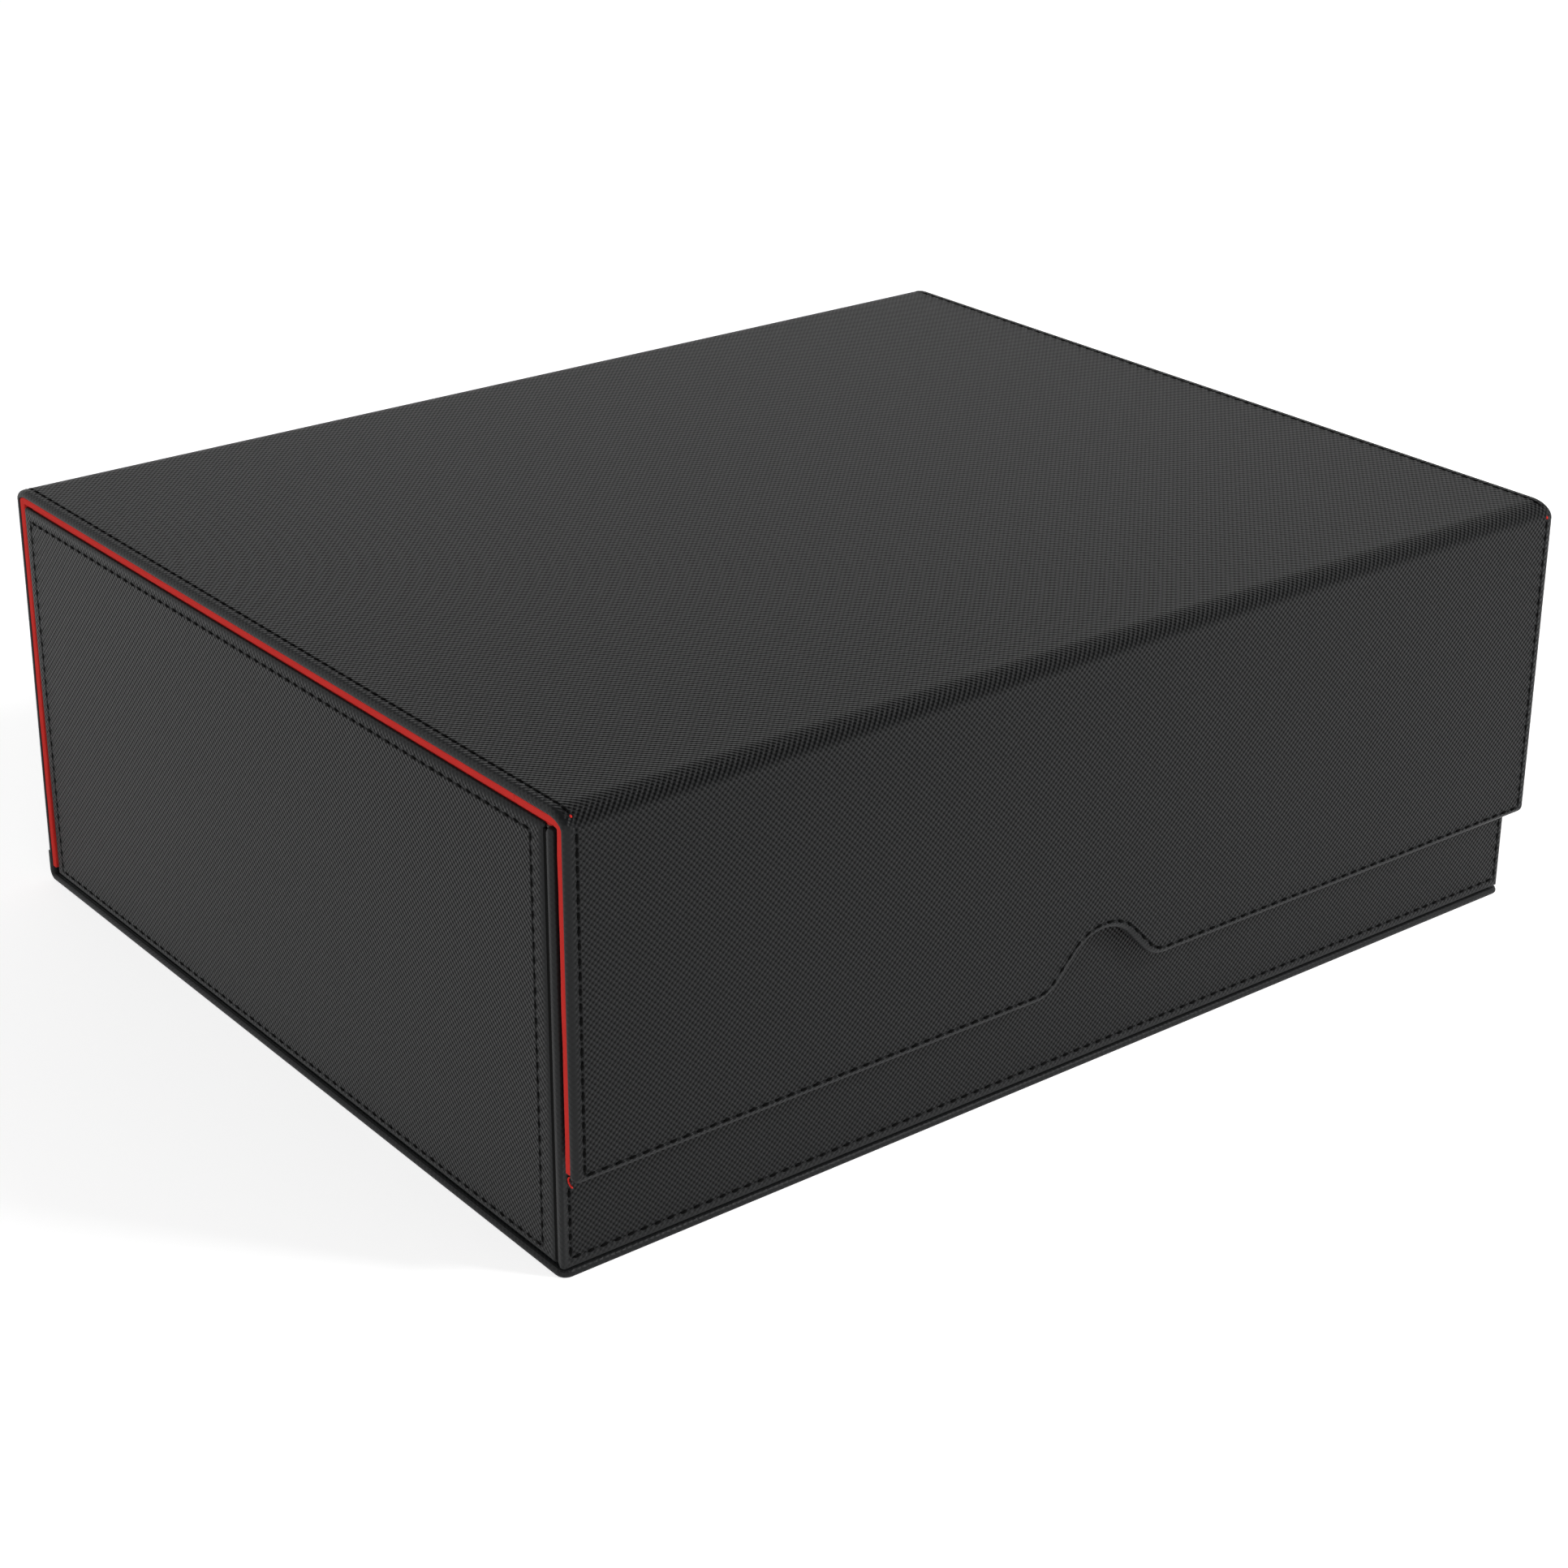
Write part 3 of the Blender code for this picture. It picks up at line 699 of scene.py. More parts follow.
@dataclass(frozen=True)
class EmbossedLeather:
    """PU-coated leather, rolled hot with a plain-weave pattern: fine raised squares with a soft satin gloss.

    The pits between the raised squares are painted darker and less glossy, painted shade for their occlusion,
    so the weave shows under soft light too. Near an edge the weave is really pressed flatter, and it is
    painted paler and glossier there, a painted highlight on the rounded edge.
    """

    name: str = "embossed_pu_leather"
    # The crest is the leather's own tone; the pit tone below it is darker, painted shade for the occlusion in
    # the pits.
    crest: str = "#232425"
    pit_shade: str = "#060606"
    weave_mm: float = 1.67
    relief_mm: float = 0.36
    grain_mm: float = 0.35
    grain_share: float = 0.18
    # Near an edge the weave is pressed flat by this share, to a level that paints the edge paler and glossier
    # as a painted highlight.
    flat_highlight: float = 0.85
    flat_highlight_height: float = 0.75
    roughness: float = 0.40
    crest_gloss: float = 0.22
    # Lower gloss in the pits: painted shade on the reflections there.
    pit_shade_gloss: float = 0.06

    def _raised(self, tree: bpy.types.NodeTree) -> bpy.types.NodeSocket:
        """Adds the weave, 0 in a pit to 1 on a crest, flatter and lifted near an edge: a painted highlight.

        Args:
            tree: The material's node tree.

        Returns:
            The socket that gives the height.
        """
        flat = add_node(tree, "ShaderNodeUVMap", {"uv_map": "flat"})
        parts = add_node(tree, "ShaderNodeSeparateXYZ", links={0: flat.outputs["UV"]})
        turns = 2 * math.pi / (self.weave_mm * MM)
        multiply = {"operation": "MULTIPLY"}
        waves = []
        for axis in ("X", "Y"):
            phase = add_node(tree, "ShaderNodeMath", multiply, {1: turns}, {0: parts.outputs[axis]})
            wave = add_node(tree, "ShaderNodeMath", {"operation": "COSINE"}, links={0: phase.outputs[0]})
            waves.append(wave.outputs[0])
        weave = add_node(tree, "ShaderNodeMath", multiply, links=dict(enumerate(waves)))
        ranges = {"From Min": -1.0, "From Max": 1.0, "To Min": 0.0, "To Max": 1.0}
        squares = add_node(tree, "ShaderNodeMapRange", values=ranges, links={"Value": weave.outputs[0]})
        # The edge weight presses the weave flat and lifts it towards the crest's tone and gloss: a painted
        # highlight on the rounded edge.
        edge_flat_highlight = add_node(tree, "ShaderNodeAttribute", {"attribute_name": "edge_flat_highlight"})
        flat_highlight_mix = add_node(tree, "ShaderNodeMath", multiply, {1: self.flat_highlight}, {0: edge_flat_highlight.outputs["Fac"]})
        links = {0: flat_highlight_mix.outputs[0], 2: squares.outputs["Result"]}
        flat_highlight_level = {3: self.flat_highlight_height}
        return add_node(tree, "ShaderNodeMix", {"data_type": "FLOAT"}, flat_highlight_level, links).outputs[0]

    def build(self) -> bpy.types.Material:
        """Makes the material."""
        material, tree, shader = new_material(self.name)
        raised = self._raised(tree)
        place = add_node(tree, "ShaderNodeTexCoord").outputs["Object"]
        pores = {"Scale": 1 / (self.grain_mm * MM), "Detail": 2.0, "Roughness": 0.5}
        grain = add_node(tree, "ShaderNodeTexNoise", values=pores, links={"Vector": place})
        links = {0: grain.outputs["Fac"], 2: raised}
        added = {"operation": "MULTIPLY_ADD"}
        height = add_node(tree, "ShaderNodeMath", added, {1: self.grain_share}, links)
        relief = {"Strength": 1.0, "Distance": self.relief_mm * MM}
        bump = add_node(tree, "ShaderNodeBump", values=relief, links={"Height": height.outputs[0]})
        # Pits darker and less glossy than the crests: painted shade for the occlusion in the pits, on top of
        # the bump's own shading.
        tones = {6: linear(self.pit_shade), 7: linear(self.crest)}
        colour = add_node(tree, "ShaderNodeMix", {"data_type": "RGBA"}, tones, {0: raised})
        glosses = {"To Min": self.pit_shade_gloss, "To Max": self.crest_gloss}
        gloss = add_node(tree, "ShaderNodeMapRange", values=glosses, links={"Value": raised})
        links = {
            "Base Color": colour.outputs[2],
            "Specular IOR Level": gloss.outputs["Result"],
            "Normal": bump.outputs["Normal"],
        }
        fill_inputs(shader, {"Roughness": self.roughness}, links)
        return material


@dataclass(frozen=True)
class Microfibre:
    """Dyed microfibre suede glued over board: a matte red with a short nap that catches light at its edge."""

    name: str = "dyed_microfibre_suede"
    dark: str = "#d02722"
    light: str = "#f03e37"
    nap_mm: float = 0.5
    patch_mm: float = 14.0
    patch_share: float = 0.4
    relief_mm: float = 0.06
    roughness: float = 0.9
    gloss: float = 0.2
    sheen: float = 0.1
    sheen_roughness: float = 0.4
    sheen_tint: str = "#ff8a80"

    def build(self) -> bpy.types.Material:
        """Makes the material."""
        material, tree, shader = new_material(self.name)
        place = {"Vector": add_node(tree, "ShaderNodeTexCoord").outputs["Object"]}
        fine = {"Scale": 1 / (self.nap_mm * MM), "Detail": 3.0, "Roughness": 0.6}
        nap = add_node(tree, "ShaderNodeTexNoise", values=fine, links=place)
        wide = {"Scale": 1 / (self.patch_mm * MM), "Detail": 2.0, "Roughness": 0.5}
        patches = add_node(tree, "ShaderNodeTexNoise", values=wide, links=place)
        both = {2: nap.outputs["Fac"], 3: patches.outputs["Fac"]}
        share = add_node(tree, "ShaderNodeMix", {"data_type": "FLOAT"}, {0: self.patch_share}, both)
        tones = {6: linear(self.dark), 7: linear(self.light)}
        colour = add_node(tree, "ShaderNodeMix", {"data_type": "RGBA"}, tones, {0: share.outputs[0]})
        relief = {"Strength": 1.0, "Distance": self.relief_mm * MM}
        bump = add_node(tree, "ShaderNodeBump", values=relief, links={"Height": nap.outputs["Fac"]})
        values = {
            "Roughness": self.roughness,
            "Specular IOR Level": self.gloss,
            "Sheen Weight": self.sheen,
            "Sheen Roughness": self.sheen_roughness,
            "Sheen Tint": linear(self.sheen_tint),
        }
        fill_inputs(shader, values, {"Base Color": colour.outputs[2], "Normal": bump.outputs["Normal"]})
        return material


@dataclass(frozen=True)
class SewingThread:
    """Bonded polyester thread, twisted from plies: nearly black, with a faint sheen along the twist.

    Real plies are under half a millimetre wide. They are drawn coarser, so that they still show.
    """

    name: str = "bonded_polyester_thread"
    colour: str = "#050505"
    ply_mm: float = 2.5393
    distortion: float = 0.5
    relief_mm: float = 0.05
    relief_strength: float = 0.6
    roughness: float = 0.7
    gloss: float = 0.05

    def build(self) -> bpy.types.Material:
        """Makes the material."""
        material, tree, shader = new_material(self.name)
        place = {"Vector": add_node(tree, "ShaderNodeTexCoord").outputs["Object"]}
        twist = {"wave_type": "BANDS", "bands_direction": "DIAGONAL"}
        scale = 2 * math.pi / (DIAGONAL_BANDS_RATE * self.ply_mm * MM)
        values = {"Scale": scale, "Distortion": self.distortion}
        plies = add_node(tree, "ShaderNodeTexWave", twist, values, place)
        relief = {"Strength": self.relief_strength, "Distance": self.relief_mm * MM}
        bump = add_node(tree, "ShaderNodeBump", values=relief, links={"Height": plies.outputs["Fac"]})
        tone = linear(self.colour)
        values = {"Base Color": tone, "Roughness": self.roughness, "Specular IOR Level": self.gloss}
        fill_inputs(shader, values, {"Normal": bump.outputs["Normal"]})
        return material


@dataclass(frozen=True)
class Greyboard:
    """Pressed recycled board: dull grey-brown with short fibres and specks."""

    name: str = "pressed_greyboard"
    dark: str = "#8a8379"
    light: str = "#b0a99d"
    fibre_mm: float = 1.2
    roughness: float = 0.92

    def build(self) -> bpy.types.Material:
        """Makes the material."""
        material, tree, shader = new_material(self.name)
        place = {"Vector": add_node(tree, "ShaderNodeTexCoord").outputs["Object"]}
        short = {"Scale": 1 / (self.fibre_mm * MM), "Detail": 6.0, "Roughness": 0.7, "Distortion": 1.5}
        fibres = add_node(tree, "ShaderNodeTexNoise", values=short, links=place)
        tones = {6: linear(self.dark), 7: linear(self.light)}
        colour = add_node(tree, "ShaderNodeMix", {"data_type": "RGBA"}, tones, {0: fibres.outputs["Fac"]})
        fill_inputs(shader, {"Roughness": self.roughness}, {"Base Color": colour.outputs[2]})
        return material


@dataclass(frozen=True)
class PlatedMagnet:
    """Sintered magnet with nickel plating: a pale metal with a fine tumbled haze."""

    name: str = "nickel_plated_magnet"
    colour: str = "#c8c6c2"
    haze_mm: float = 0.4
    smoothest: float = 0.22
    roughest: float = 0.38

    def build(self) -> bpy.types.Material:
        """Makes the material."""
        material, tree, shader = new_material(self.name)
        place = {"Vector": add_node(tree, "ShaderNodeTexCoord").outputs["Object"]}
        fine = {"Scale": 1 / (self.haze_mm * MM), "Detail": 3.0}
        haze = add_node(tree, "ShaderNodeTexNoise", values=fine, links=place)
        limits = {"To Min": self.smoothest, "To Max": self.roughest}
        spread = add_node(tree, "ShaderNodeMapRange", values=limits, links={"Value": haze.outputs["Fac"]})
        values = {"Base Color": linear(self.colour), "Metallic": 1.0}
        fill_inputs(shader, values, {"Roughness": spread.outputs["Result"]})
        return material


# Sub-assemblies


@dataclass
class Finishes:
    """The materials, built once and shared."""

    leather: bpy.types.Material = field(default_factory=lambda: EmbossedLeather().build())
    lining: bpy.types.Material = field(default_factory=lambda: Microfibre().build())
    thread: bpy.types.Material = field(default_factory=lambda: SewingThread().build())
    board: bpy.types.Material = field(default_factory=lambda: Greyboard().build())
    magnet: bpy.types.Material = field(default_factory=lambda: PlatedMagnet().build())


@dataclass(frozen=True)
class Stitch:
    """One lockstitch of thick thread and how far apart the stitches are."""

    pitch: float = 4.0 * MM
    length: float = 2.0 * MM
    width: float = 1.2 * MM
    height: float = 0.6 * MM
    sunk: float = 0.1 * MM
    slant_deg: float = 3.0
    around: int = 8
    rings: int = 6


@dataclass
class Seam:
    """A line of stitches, gathered into one piece."""

    stitch: Stitch = Stitch()
    mesh: bmesh.types.BMesh = field(default_factory=bmesh.new)

    def run(self, points: Sequence[Point], placer: Placer) -> None:
        """Sews along a line of a blank, with a stitch ending at each sharp corner.

        Args:
            points: The line's points on the blank.
            placer: Takes a point of the blank to its place on the box.
        """
        for leg in self._legs(points):
            lengths = [math.dist(a, b) for a, b in zip(leg, leg[1:])]
            total = sum(lengths)
            count = max(round(total / self.stitch.pitch), 1)
            for number in range(count):
                self._sew(leg, lengths, (number + 0.5) * total / count, placer)

    @staticmethod
    def _legs(points: Sequence[Point]) -> list[list[Point]]:
        """Splits a line at its sharp corners and drops repeated points.

        Args:
            points: The line's points.

        Returns:
            The points of each part, with the corners in both parts that meet there.
        """
        clean = [points[0]]
        for point in points[1:]:
            if math.dist(point, clean[-1]) > SAME_SPOT:
                clean.append(point)
        legs = [[clean[0]]]
        for before, point, after in zip(clean, clean[1:], clean[2:]):
            legs[-1].append(point)
            first = Vector((point[0] - before[0], point[1] - before[1]))
            second = Vector((after[0] - point[0], after[1] - point[1]))
            if first.angle(second) > math.radians(STITCH_CORNER_DEG):
                legs.append([point])
        legs[-1].append(clean[-1])
        return legs

    def _sew(self, leg: Sequence[Point], lengths: Sequence[float], reach: float, placer: Placer) -> None:
        """Adds one stitch at a distance along a leg.

        Args:
            leg: The leg's points.
            lengths: The length of each of its chords.
            reach: How far along it the stitch's middle lies.
            placer: Takes a point of the blank to its place on the box.
        """
        number = 0
        while number < len(lengths) - 1 and reach > lengths[number]:
            reach -= lengths[number]
            number += 1
        start, end = Vector(leg[number]), Vector(leg[number + 1])
        heading = (end - start).normalized()
        heading.rotate(Matrix.Rotation(math.radians(self.stitch.slant_deg), 2))
        self.bead(start.lerp(end, reach / lengths[number]), heading, placer)

    def bead(self, spot: Vector, heading: Vector, placer: Placer) -> None:
        """Adds one short length of thread.

        Args:
            spot: Its middle on the blank.
            heading: The way that it points on the blank.
            placer: Takes a point of the blank to its place on the box.
        """
        size = self.stitch
        centre = placer(spot.x, spot.y, size.sunk)
        ahead = (placer(spot.x + heading.x * MM, spot.y + heading.y * MM, size.sunk) - centre).normalized()
        outward = (placer(spot.x, spot.y, size.sunk - MM) - centre).normalized()
        axes = (outward.cross(ahead) * size.width, outward * size.height, ahead * size.length)
        turn = Matrix([(*(axis / 2), 0) for axis in axes] + [(0, 0, 0, 1)]).transposed()
        bmesh.ops.create_uvsphere(
            self.mesh,
            u_segments=size.around,
            v_segments=size.rings,
            radius=1.0,
            matrix=Matrix.Translation(centre) @ turn,
        )

    def piece(self, name: str, finish: bpy.types.Material, slot: Slot = Slot.LEATHER) -> bpy.types.Object:
        """Makes one piece of all the stitches."""
        made = new_piece(name, self.mesh, finish)
        report(made, slot)
        return made


@dataclass
class Cover:
    """The wrap cover: leather over board, folded behind, on top and in front, with a red lining inside."""

    finishes: Finishes
    width: float = 340.0 * MM
    depth: float = 278.0 * MM
    height: float = 125.0 * MM
    lid_shift: float = 0.8 * MM
    flap_low: float = 28.4 * MM
    front_fold: Point = (4.5 * MM, 7.5 * MM)
    rear_fold: Point = (6.5 * MM, 3.5 * MM)
    heel_fold: Point = (3.0 * MM, 3.0 * MM)
    back_lean_from: float = 60.0 * MM
    back_lean: float = 2.5 * MM
    heel_lean: float = 1.6 * MM
    inner_lean_share: float = 0.6
    bottom_front: float = -133.9 * MM
    bottom_corner: float = 3.0 * MM
    bottom_nose: float = 0.7 * MM
    shell: float = 0.6 * MM
    nose: float = 1.7 * MM
    turned: float = 2.05 * MM
    hem: float = 0.15 * MM
    turn_in: float = 8.0 * MM
    lining_near: float = 2.08 * MM
    lining_far: float = 4.1 * MM
    lining_round: float = 0.35 * MM
    lining_insets: Insets = Insets(0.2 * MM, 0.2 * MM, 0.2 * MM, 0.2 * MM)
    flap_lining_insets: Insets = Insets(0.2 * MM, 0.2 * MM, 2.2 * MM, 0.2 * MM)
    flap_corner: float = 2.0 * MM
    notch_height: float = 14.2 * MM
    notch_arch: float = 13.0 * MM
    notch_flare: float = 10.0 * MM
    notch_slope_deg: float = 47.0
    groove: float = 0.3 * MM
    groove_half: float = 0.42 * MM
    side_row: float = 3.0 * MM
    flap_low_row: float = 2.15 * MM
    flap_row_top: float = 120.8 * MM
    lid_row_front: float = -136.0 * MM
    back_row_low: float = 6.0 * MM
    lid_bend: float = -132.5 * MM
    flap_bend_low: float = 117.5 * MM
    knots_above_row: Point = (3.7 * MM, 0.4 * MM)
    knot_outside_row: float = 0.0
    rear_bend: Point = (3.5 * MM, 6.5 * MM)
    front_lining_bend: Point = (-0.8 * MM, 0.6 * MM)
    rear_lining_bend: Point = (-0.5 * MM, 1.9 * MM)
    front_seam: float = -118.0 * MM
    heel_seam: float = 9.0 * MM
    oversize: float = 12.0 * MM
    corner_steps: int = 6
    flare_steps: int = 12
    arch_steps: int = 26
    front_cut_margins: tuple[float, ...] = (0.4 * MM, 1.2 * MM, 2.0 * MM)
    rear_cut_margins: tuple[float, ...] = (0.4 * MM, 1.2 * MM, 4.0 * MM)
    heel_cut_margins: tuple[float, ...] = (0.4 * MM, 1.2 * MM)
    lining_cut_margins: tuple[float, ...] = (0.6 * MM, 2.0 * MM)
    back_lining_low: float = 4.6 * MM
    uneven: float = 0.12 * MM
    uneven_grain: float = 4.0 * MM
    wrap: WrapLine = field(init=False)

    def __post_init__(self) -> None:
        """Lays out the wrap line."""
        front, back = -self.depth / 2, self.depth / 2
        corners = (
            (front, self.flap_low),
            (front, self.height),
            (back, self.height),
            (back, 0.0),
            (self.bottom_front, 0.0),
        )
        self.wrap = WrapLine(corners, (self.front_fold, self.rear_fold, self.heel_fold))

    # Places along the wrap line
    def on_flap(self, z: float) -> float:
        """The place along the wrap of a height on the flap."""
        return self.wrap.on(0, z - self.flap_low)

    def on_lid(self, y: float) -> float:
        """The place along the wrap of a depth on the lid."""
        return self.wrap.on(1, y + self.depth / 2)

    def on_back(self, z: float) -> float:
        """The place along the wrap of a height on the back."""
        return self.wrap.on(2, self.height - z)

    def on_bottom(self, y: float) -> float:
        """The place along the wrap of a depth on the bottom."""
        return self.wrap.on(3, self.depth / 2 - y)

    def lean(self, along: float) -> float:
        """How far the cover stands out behind, as the back isn't quite tight.

        Args:
            along: The place along the wrap line.

        Returns:
            The distance that it is moved backward.
        """
        back = self.wrap.leg(2)
        marks = (
            (self.on_lid(self.back_lean_from), 0.0),
            (back.start, self.back_lean),
            (back.end, self.heel_lean),
            (self.on_bottom(self.back_lean_from), 0.0),
        )
        for (low, before), (high, after) in zip(marks, marks[1:]):
            if low < along <= high:
                return before + (after - before) * (along - low) / (high - low)
        return 0.0

    def place(self, x: float, along: float, depth: float) -> Vector:
        """Folds one point of a blank round the box.

        The lid and the flap sit a little to the right of the tray, and the back panel evens that out.

        Args:
            x: Its place across the blank.
            along: Its place along the wrap line.
            depth: How deep it lies in the material.

        Returns:
            The point on the box.
        """
        back = self.wrap.leg(2)
        shift = self.lid_shift * (1 - smooth_step(along, back.start, back.end))
        share = 1 - (1 - self.inner_lean_share) * depth / self.lining_far
        return self.wrap.place(x + shift, along, depth) + Vector((0.0, self.lean(along) * share, 0.0))

    def flap_outline(self, top: float) -> Outline:
        """The flap's outline with the finger notch.

        Args:
            top: The place along the wrap at which the outline ends above.

        Returns:
            A function from insets to points, anticlockwise from the top left corner.
        """

        def points(insets: Insets) -> list[Point]:
            """The outline at some insets; the low one also moves the notch."""
            angle = self.notch_slope_deg
            slope = math.radians(angle)
            both = self.notch_arch + self.notch_flare
            straight = (self.notch_height - both * (1 - math.cos(slope))) / math.sin(slope)
            reach = both * math.sin(slope) + straight * math.cos(slope)
            flare = self.notch_flare - insets.low
            arch = max(self.notch_arch + insets.low, 0.0)
            arch_centre = (0.0, self.notch_height - self.notch_arch)
            half = self.width / 2
            rest = max(self.flap_corner - max(insets.left, insets.low), 0.0)
            side = half - insets.left - rest
            low = insets.low + rest
            return [
                (-half + insets.left, top - insets.high),
                *arc((-side, low), rest, 180, 270, self.corner_steps),
                *arc((-reach, self.notch_flare), flare, 270, 270 + angle, self.flare_steps),
                *arc(arch_centre, arch, 90 + angle, 90 - angle, self.arch_steps),
                *arc((reach, self.notch_flare), flare, 270 - angle, 270, self.flare_steps),
                *arc((side, low), rest, 270, 360, self.corner_steps),
                (half - insets.left, top - insets.high),
            ]

        return points

    def row_press(self, point: Vector, in_seam: bool) -> float:
        """Lifts the seam groove back to flat over the front fold, where no stitches run.

        Args:
            point: A point of the flap's blank.
            in_seam: Whether it lies in the groove.

        Returns:
            The depth to add to it.
        """
        if not in_seam:
            return 0.0
        start, end = self.on_flap(self.flap_row_top), self.on_lid(self.lid_row_front)
        unsewn = smooth_step(point.y, start, start + MM) - smooth_step(point.y, end - MM, end)
        return point.z * unsewn

    def _leather_rings(self, nose: float) -> list[Ring]:
        """The rings of a leather-covered panel's edge, for the radius of its outer edge."""
        return turned_edge(nose, self.shell, self.turned, self.hem, self.turn_in)

    def _blend_front(self, piece: bpy.types.Object) -> None:
        """Lets a piece bend over the front fold."""
        start = self.place(0.0, self.on_lid(self.lid_bend), 0.0)
        end = self.place(0.0, self.on_flap(self.flap_bend_low), 0.0)
        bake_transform(piece, Body.LID.value, Body.FLAP.value, start=tuple(start), end=tuple(end))

    def _blend_rear(self, piece: bpy.types.Object) -> None:
        """Lets a piece bend over the rear fold."""
        back = self.depth / 2
        start = (0.0, back, self.height - self.rear_bend[0])
        end = (0.0, back - self.rear_bend[1], self.height)
        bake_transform(piece, Body.BASE.value, Body.LID.value, start=start, end=end)

    def _blend_lining(self, piece: bpy.types.Object, before: Body, after: Body) -> None:
        """Lets a lining bend in a narrow zone at its inner corner, clear of the tray and the boards.

        Args:
            piece: The lining.
            before: The body that the lining goes with up to the zone's start.
            after: The body that it goes with past the zone's end.
        """
        front = after is Body.FLAP
        side = -1 if front else 1
        corner = Vector((0.0, side * (self.depth / 2 - self.lining_far), self.height - self.lining_far))
        way = Vector((0.0, -1.0, side)).normalized()
        zone = self.front_lining_bend if front else self.rear_lining_bend
        start, end = (corner + way * reach for reach in zone)
        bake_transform(piece, before.value, after.value, start=tuple(start), end=tuple(end))

    def flap_leather(self) -> None:
        """The flap's leather with the front fold, up to a hidden seam behind it."""
        seam = self.on_lid(self.front_seam)
        rows = Insets(self.side_row, self.side_row, self.flap_low_row, self.side_row)
        rings = self._leather_rings(self.nose) + seam_groove(rows, self.groove, self.groove_half)
        blank = Blank(self.flap_outline(seam + self.oversize), rings).trim(high=seam)
        blank.cut(self.wrap.fold_cuts(0, 18, self.front_cut_margins))
        row_end = self.on_flap(self.flap_row_top)
        blank.cut(row_end + step * 0.5 * MM for step in range(3))
        blank.press(self.row_press)
        piece = blank.place(self.place).piece("flap_leather", self.finishes.leather)
        self._blend_front(piece)
        report(piece, Slot.LEATHER, "flap_cover", "flap_hinge_leather")

    def lid_leather(self) -> None:
        """The leather of the lid, the rear fold and the back, down to a hidden seam above the heel."""
        low = self.on_lid(self.front_seam)
        high = self.on_back(self.heel_seam)
        half = self.width / 2
        outline = rectangle((-half, low - self.oversize), (half, high + self.oversize))
        rows = Insets(self.side_row, self.side_row, self.side_row, self.side_row)
        rings = self._leather_rings(self.nose) + seam_groove(rows, self.groove, self.groove_half)
        blank = Blank(outline, rings).trim(low, high)
        blank.cut(self.wrap.fold_cuts(1, 10, self.rear_cut_margins))
        blank.cut(self.on_back(z * MM) for z in range(20, 120, 20))
        piece = blank.place(self.place).piece("lid_and_back_leather", self.finishes.leather)
        self._blend_rear(piece)
        report(piece, Slot.LEATHER, "lid_cover", "lid_hinge_leather", "back_cover")

    def bottom_leather(self) -> None:
        """The leather of the bottom panel and of the heel fold behind it."""
        low = self.on_back(self.heel_seam)
        high = self.on_bottom(self.bottom_front)
        half = self.width / 2
        corner = self.bottom_corner
        outline = rectangle((-half, low - self.oversize), (half, high), (0, 0, corner, corner))
        rings = self._leather_rings(self.bottom_nose) + [even(self.nose + MM, 0.0)]
        blank = Blank(outline, rings).trim(low=low)
        blank.cut(self.wrap.fold_cuts(2, 10, self.heel_cut_margins))
        piece = blank.place(self.place).piece("bottom_leather", self.finishes.leather)
        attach(piece, Body.BASE.value)
        report(piece, Slot.LEATHER, "bottom_cover", "heel_fold")

    def linings(self) -> None:
        """The red lining panels of the flap, the lid and the back, folded with the leather."""
        seam = self.on_lid(self.front_seam)
        rings = padded_edge(self.lining_round, self.lining_round, self.lining_near, self.lining_far)
        flap_rings = [ring.moved_in(self.flap_lining_insets) for ring in rings]
        blank = Blank(self.flap_outline(seam + self.oversize), flap_rings).trim(high=seam)
        blank.cut(self.wrap.fold_cuts(0, 18, self.lining_cut_margins))
        blank.cut(self.on_flap(z * MM) for z in range(34, 116, 5))
        blank.jitter(self.uneven, self.uneven_grain, seed=3.0)
        piece = blank.place(self.place).piece("flap_lining_panel", self.finishes.lining)
        self._blend_lining(piece, Body.LID, Body.FLAP)
        report(piece, Slot.LINING, "flap_lining", "flap_hinge_lining")

        half = self.width / 2
        outline = rectangle((-half, seam - self.oversize), (half, self.on_back(self.back_lining_low)))
        lid_rings = [ring.moved_in(self.lining_insets) for ring in rings]
        blank = Blank(outline, lid_rings).trim(low=seam)
        blank.cut(self.wrap.fold_cuts(1, 12, self.lining_cut_margins))
        blank.cut(self.on_lid(y * MM) for y in range(-113, 135, 5))
        blank.cut(self.on_back(z * MM) for z in range(10, 118, 5))
        blank.jitter(self.uneven, self.uneven_grain, seed=7.0)
        piece = blank.place(self.place).piece("lid_and_back_lining_panel", self.finishes.lining)
        self._blend_lining(piece, Body.BASE, Body.LID)
        report(piece, Slot.LINING, "lid_lining", "lid_hinge_lining", "back_lining")

    def stitching(self) -> None:
        """The stitches along the flap's edge and notch and along the sides of the lid and the back."""
        side = self.side_row
        flap = Seam()
        outline = self.flap_outline(self.on_flap(self.flap_row_top))
        flap.run(outline(Insets(side, side, self.flap_low_row, 0.0)), self.place)
        rear = Seam()
        start, seam = self.on_lid(self.lid_row_front), self.on_lid(self.front_seam)
        for across in (-self.width / 2 + side, self.width / 2 - side):
            flap.run([(across, start), (across, seam)], self.place)
            rear.run([(across, seam), (across, self.on_back(self.back_row_low))], self.place)
        self._blend_front(flap.piece("flap_stitching", self.finishes.thread))
        self._blend_rear(rear.piece("lid_and_back_stitching", self.finishes.thread))

    def loose_ends(self) -> None:
        """Ends of the lining's red thread: a knot above each side row of the flap and a curl at a corner."""
        half = self.width / 2
        ends = Seam(Stitch(length=1.0 * MM, width=0.8 * MM, height=0.6 * MM, sunk=0.1 * MM))
        inset = self.side_row - self.knot_outside_row
        for across, above in zip((-half + inset, half - inset), self.knots_above_row):
            spot = Vector((across, self.on_flap(self.flap_row_top) + above))
            ends.bead(spot, Vector((0.3, 1.0)).normalized(), self.place)

        def on_edge(along: float, depth: float, inward: float) -> Vector:
            """Takes a point of the flap's left edge to its place."""
            return self.place(inward - half, along, depth)

